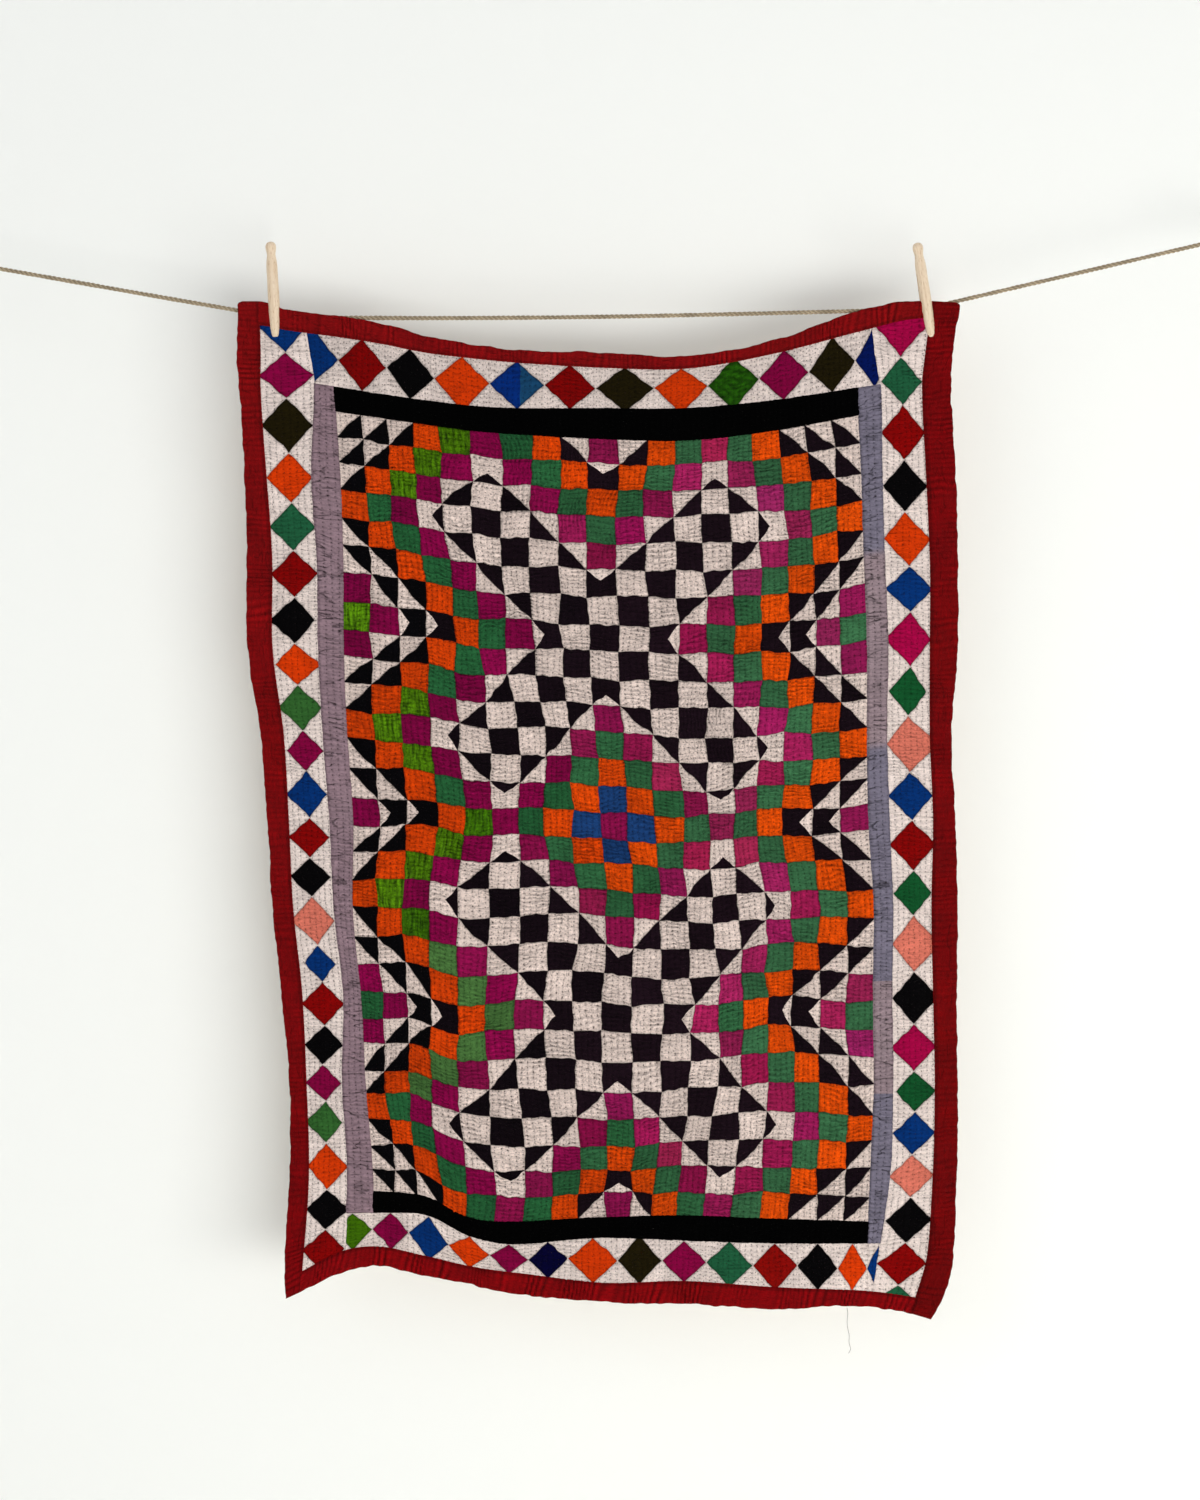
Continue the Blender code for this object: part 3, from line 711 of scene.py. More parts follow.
# %% Which patch goes where
COLUMNS, ROWS = 19, 29
ASIDE, HALFWAY = COLUMNS // 2, (ROWS + 1) // 2
CENTRE_ROWS = (1, HALFWAY, ROWS)
PATCH_WIDE, PATCH_HIGH = 31.6, 31.2
WHOLE, FALLING, RISING, FROM_TOP, FROM_BOTTOM, FROM_LEFT, FROM_RIGHT = range(7)
DIAMOND_RINGS = ("magenta", "blue", "orange", "green", "magenta")
SIDE_BANDS = ("magenta", "green", "orange", "halves", "halves", "magenta", "green")


def steps_from_centre(row):
    """How many rows lie between a row and the middle of the nearest diamond."""
    return min(abs(row - centre) for centre in CENTRE_ROWS)


def medallion_reach(row):
    """How many patches a medallion reaches from the middle column in this row."""
    return 6 - abs(steps_from_centre(row) - 3)


def zigzag_halves(column, row):
    """A patch cut in half along the zigzag: white outside, black inside."""
    widening = medallion_reach(row + 1) - medallion_reach(row - 1)
    if row in (1, ROWS):
        widening = 1 if row == 1 else -1
    if widening == 0:
        return (FROM_LEFT if column < 0 else FROM_RIGHT), "black", "white"
    if column < 0:
        return (RISING, "white", "black") if widening > 0 else (FALLING, "black", "white")
    return (FALLING, "white", "black") if widening > 0 else (RISING, "black", "white")


def field_patch(column, row):
    """How a patch is cut, and its dyes: for halves, the upper one first; for wedges, the wedge last."""
    away, steps = abs(column), steps_from_centre(row)
    centre = min(CENTRE_ROWS, key=lambda c: abs(row - c))
    ring, beyond = away + steps, away - medallion_reach(row)
    centre_above = row > centre
    if ring == 1 and centre != HALFWAY:
        if column == 0:
            return (FROM_TOP if centre == 1 else FROM_BOTTOM), "black", "white"
        if centre == 1:
            return (FALLING, "white", "black") if column < 0 else (RISING, "white", "black")
        return (RISING, "black", "white") if column < 0 else (FALLING, "black", "white")
    if ring <= 4:
        return WHOLE, DIAMOND_RINGS[ring], None
    if beyond >= 1:
        band = SIDE_BANDS[beyond - 1]
        if band == "halves" or (row in (1, ROWS) and away >= 7):
            return zigzag_halves(column, row)
        return WHOLE, band, None
    if ring == 5 and beyond == 0:
        return (FROM_BOTTOM if centre_above else FROM_TOP), "white", "black"
    if ring == 5 and away == 0:
        return (FROM_TOP if centre_above else FROM_BOTTOM), "black", "white"
    if ring == 5:
        if centre_above:
            return (FALLING, "white", "black") if column < 0 else (RISING, "white", "black")
        return (RISING, "black", "white") if column < 0 else (FALLING, "black", "white")
    if beyond == 0 and steps == 3:
        return (FROM_RIGHT if column < 0 else FROM_LEFT), "white", "black"
    if beyond == 0:
        return zigzag_halves(column, row)
    return WHOLE, "black" if ring % 2 else "white", None


for row in (1, 4, 8, HALFWAY):
    print(row, [field_patch(column, row)[1][:2] for column in range(-ASIDE, ASIDE + 1)])


# %% The dye of each patch
LIME_ROWS = (1, 2, 3, 11, 12, 13, 15, 16, 17, 18, 19)
PALE_ROWS = range(20, 26)


def patch_dye(name, column, row, draw):
    """The dye of one patch, and how silky it is: no two scraps of a colour are quite alike."""
    tone = draw.uniform(0.80, 1.18)
    # the dyes grow paler towards the right of the field, and the blacks of the medallions with them
    rightward = np.clip((column + 4) / 9 + draw.uniform(-0.3, 0.3), 0.0, 1.0)
    if name == "magenta":
        pinker = dye(148, 28, 75) * draw.uniform((0.9, 0.7, 0.85), (1.2, 1.5, 1.35))
        return tone * blend(dye(122, 3, 60), pinker, rightward), 0.2
    if name == "blue":
        return tone * dye(23, 56, 105), 0.0
    if name == "orange":
        return draw.uniform(0.88, 1.12) * blend(dye(202, 60, 2), dye(214, 72, 3), rightward), 0.3
    if name == "green":
        left_green_band = column < -3 and column + medallion_reach(row) == -2
        if (left_green_band and row in LIME_ROWS) or (column == -ASIDE and row == 8):
            return tone * (dye(54, 98, 3) if row in (15, 19) else dye(70, 112, 5)), 1.0
        if left_green_band and row in PALE_ROWS:
            return tone * dye(66, 104, 52), 0.0
        return tone * blend(dye(33, 86, 48), dye(52, 98, 63), rightward), 0.0
    if name == "black":
        inner = np.clip(rightward + (0.4 if abs(column) < 7 else -0.3), 0.0, 1.0)
        return tone * blend(dye(3, 2, 4), dye(24, 11, 19), inner), 0.0
    return draw.uniform(0.92, 1.06) * dye(217, 197, 187), 0.0


def crosswise(column, row):
    """In a few places the quilter sewed the rows across the quilt."""
    top_middle = -5 <= column <= 0 and (row <= 3 or (column >= -3 and row <= 5))
    right_side = 3 <= column <= 5 and 10 <= row <= 12
    return top_middle or right_side


draw = np.random.default_rng(7)
cut = np.zeros((ROWS, COLUMNS), int)
first_dye, second_dye = np.zeros((ROWS, COLUMNS, 3)), np.zeros((ROWS, COLUMNS, 3))
silky_patch = np.zeros((ROWS, COLUMNS))
sideways = np.zeros((ROWS, COLUMNS), bool)
for row in range(1, ROWS + 1):
    for column in range(-ASIDE, ASIDE + 1):
        here = row - 1, column + ASIDE
        cut[here], first, second = field_patch(column, row)
        first_dye[here], silky_patch[here] = patch_dye(first, column, row, draw)
        second_dye[here], _ = patch_dye(second or first, column, row, draw)
        sideways[here] = crosswise(column, row)
halved = (cut == FALLING) | (cut == RISING)
paler = np.sign(first_dye.sum(axis=2) - second_dye.sum(axis=2))
bulge = halved * paler * draw.uniform(-0.015, 0.045, cut.shape)
pull = np.random.default_rng(8).uniform(0.7, 1.35, (ROWS, COLUMNS)) + 0.55 * silky_patch
print("patches", cut.size, "of them cut in two", int((cut != WHOLE).sum()))

# %% [markdown]
# Laying out the field
#
# The patches drifted as they were sewn, so their rows and columns wander. Two small tables hold
# where some rows and columns really run. The difference from the even layout is read as a smooth
# curve, and each corner where four patches meet gets a small nudge of its own.

# %% Where the patches lie
ROW_STATIONS = np.array([4, 8, 12, 15, 18, 22, 26])
COLUMN_STATIONS = np.array([-9, -6, -3, 0, 3, 6, 9])
ROWS_DOWN = np.array([
    (236, 246, 258, 263, 263, 259, 250), (365, 376, 384, 389, 390, 389, 378),
    (489, 500, 507, 513, 519, 515, 510), (590, 595, 600, 605, 608, 601, 597),
    (683, 689, 691, 695, 701, 695, 695), (809, 823, 821, 827, 826, 817, 823),
    (928, 945, 958, 959, 952, 949, 952),
], float)
LEAN_ROWS = np.array([1, 4, 8, 12, 15, 18, 22, 26, 29])
LEAN_COLUMNS = np.array([-6, -3, 0, 3, 6])
COLUMNS_ACROSS = np.array([
    (-200, -96, 5, 101, 191), (-195, -97, 2, 101, 198), (-183, -94, 5, 107, 202),
    (-178, -78, 12, 107, 197), (-172, -79, 15, 112, 196), (-179, -75, 24, 114, 204),
    (-179, -82, 18, 123, 206), (-177, -72, 24, 113, 206), (-167, -71, 20, 103, 201),
], float)


def even_field(s, t):
    """The even layout: s patches from the left seam and t patches from the top seam."""
    return on_quilt(FIELD_LEFT + s / COLUMNS, FIELD_TOP + t / ROWS)


def drift(columns, rows, table, holds_rows):
    """How far a table of patch middles strays from the even layout, held at the field's edges."""
    stations_s, stations_t = columns + ASIDE + 0.5, rows - 0.5
    across, down = even_field(stations_s[None, :], stations_t[:, None])
    if holds_rows:
        stations_t = np.concatenate([[0.0], stations_t, [float(ROWS)]])
        strayed = np.pad(table - down, ((1, 1), (0, 0)))
    else:
        stations_s = np.concatenate([[0.0], stations_s, [float(COLUMNS)]])
        strayed = np.pad(table - across, ((0, 0), (1, 1)))
    print("drift up to", round(float(np.abs(strayed).max()), 1), "mm")
    return stations_s, stations_t, strayed


DOWN_DRIFT = drift(COLUMN_STATIONS, ROW_STATIONS, ROWS_DOWN, True)
ACROSS_DRIFT = drift(LEAN_COLUMNS, LEAN_ROWS, COLUMNS_ACROSS, False)
NUDGE, WAVER = 0.08, 0.018
nudges = np.random.default_rng(9).uniform(-NUDGE, NUDGE, (ROWS + 1, COLUMNS + 1, 2))
nudges[0, :, 1] = nudges[-1, :, 1] = nudges[:, 0, 0] = nudges[:, -1, 0] = 0.0


def read_drift(table, s, t):
    """Read a table of drift as a smooth surface."""
    stations_s, stations_t, strayed = table
    by_row = smooth_through(stations_t, np.eye(len(stations_t)), t)
    by_column = smooth_through(stations_s, np.eye(len(stations_s)), s)
    return np.einsum("...i,ij,...j->...", by_row, strayed, by_column)


def patch_of(s, t):
    """Row and column of the patch that a place lies in, counted from 0."""
    return (np.clip(np.floor(t).astype(int), 0, ROWS - 1),
            np.clip(np.floor(s).astype(int), 0, COLUMNS - 1))


def field_spread(x, y):
    """Across and down of a flat place on the field, x and y in millimetres."""
    s, t = x / PATCH_WIDE, y / PATCH_HIGH
    row, column = patch_of(s, t)
    u, v = (s - column)[..., None], (t - row)[..., None]
    nudge = blend(blend(nudges[row, column], nudges[row, column + 1], u),
                  blend(nudges[row + 1, column], nudges[row + 1, column + 1], u), v)
    edge = np.minimum(1.0, 2 * np.minimum(np.minimum(s, COLUMNS - s), np.minimum(t, ROWS - t)))
    waver_s = WAVER * edge * swell(x, y, 17, 21)
    waver_t = WAVER * edge * swell(x, y, 17, 22)
    across, down = even_field(s + nudge[..., 0] + waver_s, t + nudge[..., 1] + waver_t)
    return across + read_drift(ACROSS_DRIFT, s, t), down + read_drift(DOWN_DRIFT, s, t)


def bulging(row, column, u, v):
    """How far the slanting seam of a halved patch bows out towards its pale half."""
    return bulge[row, column] * np.sin(pi * u) * np.sin(pi * v)


ASLANT = 0.7
SEAM_WIDE, SHADOW_WIDE = 1.3, 0.8


def seam_distance(s, t):
    """Millimetres to the nearest seam of the field, straight or slanting."""
    row, column = patch_of(s, t)
    u, v = s - column, t - row
    straight = np.minimum(np.minimum(u, 1 - u) * PATCH_WIDE, np.minimum(v, 1 - v) * PATCH_HIGH)
    bow = 2 * bulging(row, column, u, v)
    slant = np.where(cut[row, column] == FALLING, np.abs(u - v - bow), np.abs(u + v - 1 + bow))
    return np.where(halved[row, column], np.minimum(straight, slant * PATCH_WIDE * ASLANT), straight)


def field_lift(x, y):
    """Puffs, rows and seams of the field, in millimetres forward."""
    s, t = x / PATCH_WIDE, y / PATCH_HIGH
    row, column = patch_of(s, t)
    level = np.where(sideways[row, column], drawn_in(y, x, 1.25), drawn_in(x, y, 1.0))
    crinkle = 0.5 * silky_patch[row, column] * np.sin(x * 1.55 + 1.4 * swell(x, y, 25, 23))
    seam = np.exp(-(seam_distance(s, t) / SEAM_WIDE) ** 2)
    lift = (level * pull[row, column] + crinkle) * (1 - 0.6 * seam) - 0.55 * seam - 0.5
    to_edge = np.minimum(np.minimum(s, COLUMNS - s) * PATCH_WIDE, np.minimum(t, ROWS - t) * PATCH_HIGH)
    return np.maximum(pressed_in(lift, to_edge), -DEEPEST)


# %% Sew the field
STEPS = np.array([0, .028, .075, .135, .205, .28, .353, .427, .5,
                  .573, .647, .72, .795, .865, .925, .972, 1.0])
PER_PATCH = len(STEPS) - 1
WEDGE_DRAWN = 0.1


def patch_lines(first, last):
    """Grid lines through patches first to last, closer together near their seams."""
    lines = (np.arange(first, last)[:, None] + STEPS[None, :-1]).ravel()
    return np.append(lines, float(last))


def seam_bend(s, t):
    """Draw the tip of a wedge back, so that it is a low triangle, and bow the seam of a halved patch."""
    row, column = patch_of(s, t)
    u, v = s - column, t - row
    kind = cut[row, column]
    tent_u, tent_v = 1 - np.abs(2 * u - 1), 1 - np.abs(2 * v - 1)
    flat_u, flat_v = np.sin(pi * u), np.sin(pi * v)
    s_move = WEDGE_DRAWN * flat_v * tent_u * ((kind == FROM_RIGHT) * 1.0 - (kind == FROM_LEFT))
    t_move = WEDGE_DRAWN * flat_u * tent_v * ((kind == FROM_BOTTOM) * 1.0 - (kind == FROM_TOP))
    bow = bulging(row, column, u, v)
    return s + s_move + np.where(kind == FALLING, bow, -bow), t + t_move - bow


def is_second(kind, u, v):
    """Whether a place in a patch has the patch's second dye."""
    return (((kind == FALLING) & (v > u)) | ((kind == RISING) & (u + v > 1))
            | ((kind == FROM_TOP) & (v < np.minimum(u, 1 - u)))
            | ((kind == FROM_BOTTOM) & (1 - v < np.minimum(u, 1 - u)))
            | ((kind == FROM_LEFT) & (u < np.minimum(v, 1 - v)))
            | ((kind == FROM_RIGHT) & (1 - u < np.minimum(v, 1 - v))))


def field_piece(name, first_row, last_row):
    """The field between two rows: its patches, their puffs, and how they were quilted."""
    s, t = np.meshgrid(patch_lines(0, COLUMNS), patch_lines(first_row, last_row))
    rows, columns = s.shape
    s, t = seam_bend(s, t)
    x, y = s * PATCH_WIDE, t * PATCH_HIGH
    across, down = field_spread(x, y)
    points = place(across, down, CLOTH_FRONT + fold_depth(across, down) + field_lift(x, y))
    falling = by_turns(rows, columns, PER_PATCH // 2)
    middles = face_middles(rows, columns, falling) / PER_PATCH
    column, row = np.floor(middles[..., 0]).astype(int), np.floor(middles[..., 1]).astype(int)
    u, v = middles[..., 0] - column, middles[..., 1] - row
    here = row + first_row, column
    second = is_second(cut[here], u, v)
    dyes = np.where(second[..., None], second_dye[here], first_dye[here])
    shade = 1 - 0.5 * np.exp(-(seam_distance(s, t) / SHADOW_WIDE) ** 2)
    made = cloth(name, points, falling, dyes, shade, np.stack([x, y], -1), field_cotton,
                 silky_patch[here], sewn=(sewn_places(x, y), sewn_places(y, x)), crosswise=sideways[here])
    tell_frame("field", COLUMNS * PATCH_WIDE, (last_row - first_row) * PATCH_HIGH)
    print(name, len(made.data.polygons), "triangles")


field_piece("field_upper", 0, HALFWAY)
field_piece("field_lower", HALFWAY, ROWS)


# %% Stitches of the field
def field_stitches():
    """Upright rows, and rows across the quilt where it was sewn that way, with a few stitches lost."""
    x, y = row_stitches(COLUMNS * PATCH_WIDE, ROWS * PATCH_HIGH)
    flat_y, flat_x = row_stitches(ROWS * PATCH_HIGH, COLUMNS * PATCH_WIDE)
    upright = np.repeat([True, False], [len(x), len(flat_x)])
    x, y = np.concatenate([x, flat_x]), np.concatenate([y, flat_y])
    fits = sideways[patch_of(x / PATCH_WIDE, y / PATCH_HIGH)] != upright
    kept = fits & (np.random.default_rng(31).uniform(size=len(x)) >= 0.06)
    return x[kept], y[kept], upright[kept]


x, y, upright = field_stitches()
upper = y < HALFWAY * PATCH_HIGH
for name, part in (("field_stitches_upper", upper), ("field_stitches_lower", ~upper)):
    sew(name, "field_patchwork", field_spread, field_lift, x[part], y[part], upright[part])

# %% [markdown]
# The diamond borders
#
# Round the field runs an ivory border set with diamonds of every scrap to hand. Their tips meet in a
# row, but no two are the same length, and some are cut off by the strips sewn over the border's
# edges. Each border has a table of its diamonds: the dye, where the diamond ends along the border,
# and by how much its two side tips fall short of the seams (less than 0 where they are cut off).

# %% Tables of diamonds
SCRAPS = {
    "ivory": dye(224, 207, 199), "blue": dye(2, 44, 104), "magenta": dye(124, 2, 56),
    "olive": dye(26, 20, 2), "orange": dye(205, 54, 2), "teal": dye(28, 84, 54),
    "red": dye(124, 2, 2), "black": dye(2, 1, 2), "green": dye(46, 92, 40),
    "salmon": dye(210, 112, 93), "lime": dye(59, 102, 3), "mottled": dye(30, 76, 6),
    "deep green": dye(14, 74, 36), "deep blue": dye(1, 18, 80), "navy": dye(1, 0, 40),
    "joined blue": dye(2, 40, 112), "faded blue": dye(20, 62, 96), "rust": dye(126, 6, 3),
    "rose": dye(152, 2, 60),
}
LEFT_DIAMONDS = [
    ("blue", 60, 0, 0), ("magenta", 113, 0, 0), ("olive", 176, 0, 1), ("orange", 234, 1, 0),
    ("teal", 288, 0, 0), ("red", 342, 0, 0), ("black", 395, -1.5, 3.5), ("orange", 443, 3, -2),
    ("green", 495, -1, 0), ("magenta", 542, 4, 1.5), ("blue", 595, 0, 2), ("red", 641, 0, 2),
    ("black", 686, 0, 2), ("salmon", 742, -2, 1.5), ("blue", 784, 7.5, 6.5), ("red", 834, 0, 0),
    ("black", 879, 1, 0), ("magenta", 921, 1, 2.5), ("green", 969, -2, 4), ("orange", 1022, 0, 0),
    ("black", 1067, 0, -3), ("red", 1114, -1, 0), ("ivory", 1160, 5, 5),
]
RIGHT_DIAMONDS = [
    ("rose", 66, 0, 0), ("teal", 121, 2, 2), ("red", 185, 0, 0), ("black", 244, 1, 1),
    ("orange", 306, 0, 0), ("blue", 359, 0, -1.5), ("rose", 422, -2.5, 0), ("deep green", 478, 2, 5.5),
    ("salmon", 543, 0, -10), ("blue", 598, 0, 1), ("red", 656, -1, -2), ("deep green", 708, 1.5, 2.5),
    ("salmon", 773, 0, -10), ("black", 833, 1, -5), ("rose", 887, -2, -1), ("deep green", 934, 4, 0),
    ("blue", 983, 1, 0), ("salmon", 1033, 0, 0), ("black", 1086, 2, 0), ("red", 1136, 0, 0),
    ("teal", 1171, 0, 0),
]
TOP_DIAMONDS = [
    ("blue", -301, -7, 0), ("red", -246, 0, 0), ("black", -191, 0, 0), ("orange", -127, 1, -6),
    ("joined blue", -64, 0, 0), ("red", -5, 0, 0), ("olive", 62, 0, -3), ("orange", 124, 1, -5),
    ("mottled", 183, -3, -5), ("magenta", 240, 0, 0), ("olive", 294, 0, 0), ("deep blue", 338, -1, -1),
]
BOTTOM_DIAMONDS = [
    ("lime", -262, 1, 0), ("magenta", -220, 1, 0), ("blue", -174, 2, -3), ("orange", -127, 1.5, 0),
    ("magenta", -83, 1.5, 0), ("navy", -37, 1, 0), ("orange", 20, 0.5, 0), ("olive", 71, -3, 0),
    ("magenta", 122, 1, 0), ("teal", 175, 0, -2), ("rust", 227, 1, -2), ("black", 274, 1, 0),
    ("orange", 308, 1, 0.5), ("blue", 335, 2, 3),
]
# side, seam it starts from, where its first diamond starts, its diamonds, whether it runs down
# the quilt, seed, tone (painted shade that darkens a whole border, most of all the top one), and
# where its rows of stitches start and end
BORDERS = [
    ("left", RED_LEFT, 2, LEFT_DIAMONDS, True, 41, 1.0, 30, 1122),
    ("right", LAVENDER_RIGHT, -14, RIGHT_DIAMONDS, True, 42, 1.0, 24, 1146),
    ("top", RED_TOP, -363, TOP_DIAMONDS, False, 43, 0.89, -332, 312),
    ("bottom", BLACK_BOTTOM, -306, BOTTOM_DIAMONDS, False, 44, 0.97, -290, 312),
]
print("diamonds", sum(len(row[3]) for row in BORDERS))


# %% Where the borders lie
BORDER_WIDE = 50.0
UNDER_BINDING = 8.0


def border_spread(seam, runs_down):
    """The flat layout of a border between two seams, cut off where other pieces cover its ends."""
    def spread(x, y):
        if runs_down:
            across = part_way(DOWN_SEAMS, seam, seam + 1, x / BORDER_WIDE, y)
            highest = seam_at(ACROSS_SEAMS, RED_TOP, across) - UNDER_BINDING
            lowest = seam_at(ACROSS_SEAMS, RED_BOTTOM, across) + UNDER_BINDING
            return across, np.clip(y, highest, lowest)
        down = part_way(ACROSS_SEAMS, seam, seam + 1, y / BORDER_WIDE, x)
        leftmost = seam_at(DOWN_SEAMS, LAVENDER_LEFT, down)
        rightmost = seam_at(DOWN_SEAMS, LAVENDER_RIGHT, down)
        return np.clip(x, leftmost, rightmost), down

    return spread


def inside_ends(across, down, runs_down):
    """How far a place on a border lies inside the pieces that cover its two ends."""
    if runs_down:
        return np.minimum(down - seam_at(ACROSS_SEAMS, RED_TOP, across),
                          seam_at(ACROSS_SEAMS, RED_BOTTOM, across) - down)
    return np.minimum(across - seam_at(DOWN_SEAMS, LAVENDER_LEFT, down),
                      seam_at(DOWN_SEAMS, LAVENDER_RIGHT, down) - across)


def border_lift(x, y):
    """The quilted relief of a border."""
    return drawn_in(x, y, 0.85) - 0.5


for side, seam, _, _, runs_down, *_ in BORDERS:
    corner = border_spread(seam, runs_down)(np.zeros(1), np.zeros(1))
    print(side, "border starts at", [round(float(value[0]), 1) for value in corner])


# %% A grid that follows the diamonds
DIAMOND_STEPS = 20
HALF_STEPS = DIAMOND_STEPS // 2
TIP_GAP = 0.4
CENTRE_SWAY = 1.6


def diamond_grid(start, diamonds, seed):
    """Along and across of grid lines that pass through every tip and follow every diamond."""
    ends = np.array([start] + [row[1] for row in diamonds], float)
    gaps = np.array([row[2:] for row in diamonds], float)
    middles = (ends[1:] + ends[:-1]) / 2
    steps = np.arange(DIAMOND_STEPS)
    tip = TIP_GAP / np.diff(ends)[:, None]
    inner = tip + (0.5 - tip) * (np.minimum(steps, DIAMOND_STEPS - steps) - 1) / (HALF_STEPS - 1)
    share = np.where(steps <= HALF_STEPS, inner, 1 - inner)
    share[:, 0] = 0.0
    along = np.append((ends[:-1, None] + np.diff(ends)[:, None] * share).ravel(), ends[-1])
    draw = np.random.default_rng(seed)
    near = smooth_through(middles, gaps[:, 0], along)
    far = BORDER_WIDE - smooth_through(middles, gaps[:, 1], along)
    sway = draw.uniform(-CENTRE_SWAY, CENTRE_SWAY, len(ends))
    centre = BORDER_WIDE / 2 + smooth_through(ends, sway, along)
    outer_near, outer_far = np.minimum(0.0, near - TIP_GAP), np.maximum(BORDER_WIDE, far + TIP_GAP)
    tip_near, tip_far = np.maximum(near, outer_near + TIP_GAP), np.minimum(far, outer_far - TIP_GAP)
    lines = [outer_near]
    lines += [tip_near + (centre - tip_near) * step / (HALF_STEPS - 1) for step in range(HALF_STEPS)]
    lines += [centre + (tip_far - centre) * step / (HALF_STEPS - 1) for step in range(1, HALF_STEPS)]
    lines += [outer_far]
    across = np.stack(lines, 1)
    return np.broadcast_to(along[:, None], across.shape), across


def outside_diamond(along, across):
    """Steps by which a place in the grid lies outside its diamond; less than 0 inside."""
    return np.abs(along % DIAMOND_STEPS - HALF_STEPS) + np.abs(across - HALF_STEPS) - (HALF_STEPS - 1)


def diamonds_at(along, diamonds):
    """The number of the diamond at a place in the grid, counted from 0."""
    return np.clip((along // DIAMOND_STEPS).astype(int), 0, len(diamonds) - 1)


def made_of(name, diamonds):
    """Which diamonds are cut from a scrap of this name."""
    return np.array([row[0] == name for row in diamonds])


for side, _, start, diamonds, _, seed, *_ in BORDERS:
    print(side, "border has a grid of", diamond_grid(start, diamonds, seed)[0].shape, "points")


# %% Sew the borders
JOIN_AT = 0.55
END_SINK, END_SLOPE = 0.9, 3.0


def diamond_dyes(diamonds, along, across, seed, tone):
    """The dye of every triangle; a joined diamond is pieced from two blues."""
    inside, number = outside_diamond(along, across) < 0, diamonds_at(along, diamonds)
    draw = np.random.default_rng(seed)
    # tone darkens the whole border as painted shade, the top one most
    scraps = tone * np.array([SCRAPS[row[0]] * draw.uniform(0.94, 1.06) for row in diamonds])
    ivory = tone * np.array([SCRAPS["ivory"] * draw.uniform(0.95, 1.03) for _ in diamonds])
    dyes = np.where(inside[..., None], scraps[number], ivory[number])
    far_part = along % DIAMOND_STEPS > JOIN_AT * DIAMOND_STEPS
    faded = inside & far_part & made_of("joined blue", diamonds)[number]
    return np.where(faded[..., None], SCRAPS["faded blue"], dyes)


def border(side, seam, start, diamonds, runs_down, seed, tone):
    """One border, with its sides and ends pressed down under the pieces sewn over them."""
    along, across = diamond_grid(start, diamonds, seed)
    counted = np.mgrid[0:along.shape[0], 0:along.shape[1]]
    outside = outside_diamond(*counted)
    blotched = made_of("mottled", diamonds)[diamonds_at(counted[0], diamonds)] & (outside < 0)
    to_seam = np.abs(outside) * BORDER_WIDE / DIAMOND_STEPS * ASLANT
    to_side = np.minimum(across, BORDER_WIDE - across)
    x, y = across, along
    if not runs_down:
        x, y, to_seam, to_side, blotched = along.T, across.T, to_seam.T, to_side.T, blotched.T
    rows, columns = x.shape
    wavy_x, wavy_y = x + 0.5 * swell(x, y, 15, seed), y + 0.5 * swell(x, y, 15, seed + 1)
    quilt_across, quilt_down = border_spread(seam, runs_down)(wavy_x, wavy_y)
    to_end = inside_ends(quilt_across, quilt_down, runs_down)
    relief = border_lift(x, y) - 0.5 * np.exp(-(to_seam / SEAM_WIDE) ** 2)
    lift = pressed_in(relief, np.maximum(np.minimum(to_side, to_end), 0.0))
    lift = lift - END_SINK * soft_step(-to_end / END_SLOPE)
    points = place(quilt_across, quilt_down, CLOTH_FRONT + fold_depth(quilt_across, quilt_down) + lift)
    falling = ~by_turns(rows, columns, HALF_STEPS)
    middles = face_middles(rows, columns, falling)
    if runs_down:
        middles = middles[..., ::-1]
    dyes = diamond_dyes(diamonds, middles[..., 0], middles[..., 1], seed, tone)
    blotches = 0.55 * blotched * np.clip(swell(x, y, 8, 77), -1, 1.4)
    shade = (1 - 0.45 * np.exp(-(to_seam / SHADOW_WIDE) ** 2)) * (1 + blotches)
    made = cloth(f"diamond_border_{side}", points, falling, dyes, shade, np.stack([x, y], -1),
                 border_cotton, sewn=(sewn_places(x, y),))
    length = along.max() - along.min()
    wide, long = (BORDER_WIDE, length) if runs_down else (length, BORDER_WIDE)
    tell_frame(f"border_{side}", wide, long)
    print(made.name, len(made.data.polygons), "triangles")


for side, seam, start, diamonds, runs_down, seed, tone, _, _ in BORDERS:
    border(side, seam, start, diamonds, runs_down, seed, tone)


# %% Stitches of the borders
def within_diamonds(start, diamonds, along, across):
    """Whether a flat place on a border lies on a diamond."""
    ends = np.array([start] + [row[1] for row in diamonds], float)
    number = np.clip(np.searchsorted(ends, along) - 1, 0, len(diamonds) - 1)
    near, far = ends[number], ends[number + 1]
    from_middle = np.abs(2 * along - near - far) / (far - near)
    return from_middle + np.abs(2 * across / BORDER_WIDE - 1) < 1


def border_stitches(side, seam, start, diamonds, runs_down, first, last):
    """Rows of stitches; most of those on the diamonds sink out of sight and are left out."""
    length = last - first
    x, y = row_stitches(BORDER_WIDE, length) if runs_down else row_stitches(length, BORDER_WIDE)
    x, y = (x, y + first) if runs_down else (x + first, y)
    along, across = (y, x) if runs_down else (x, y)
    sunk = np.random.default_rng(start + 900).random(len(x)) < 0.6
    kept = ~(sunk & within_diamonds(start, diamonds, along, across))
    sew(f"border_stitches_{side}", "ivory_patchwork", border_spread(seam, runs_down), border_lift,
        x[kept], y[kept])


for side, seam, start, diamonds, runs_down, _, _, first, last in BORDERS:
    border_stitches(side, seam, start, diamonds, runs_down, first, last)

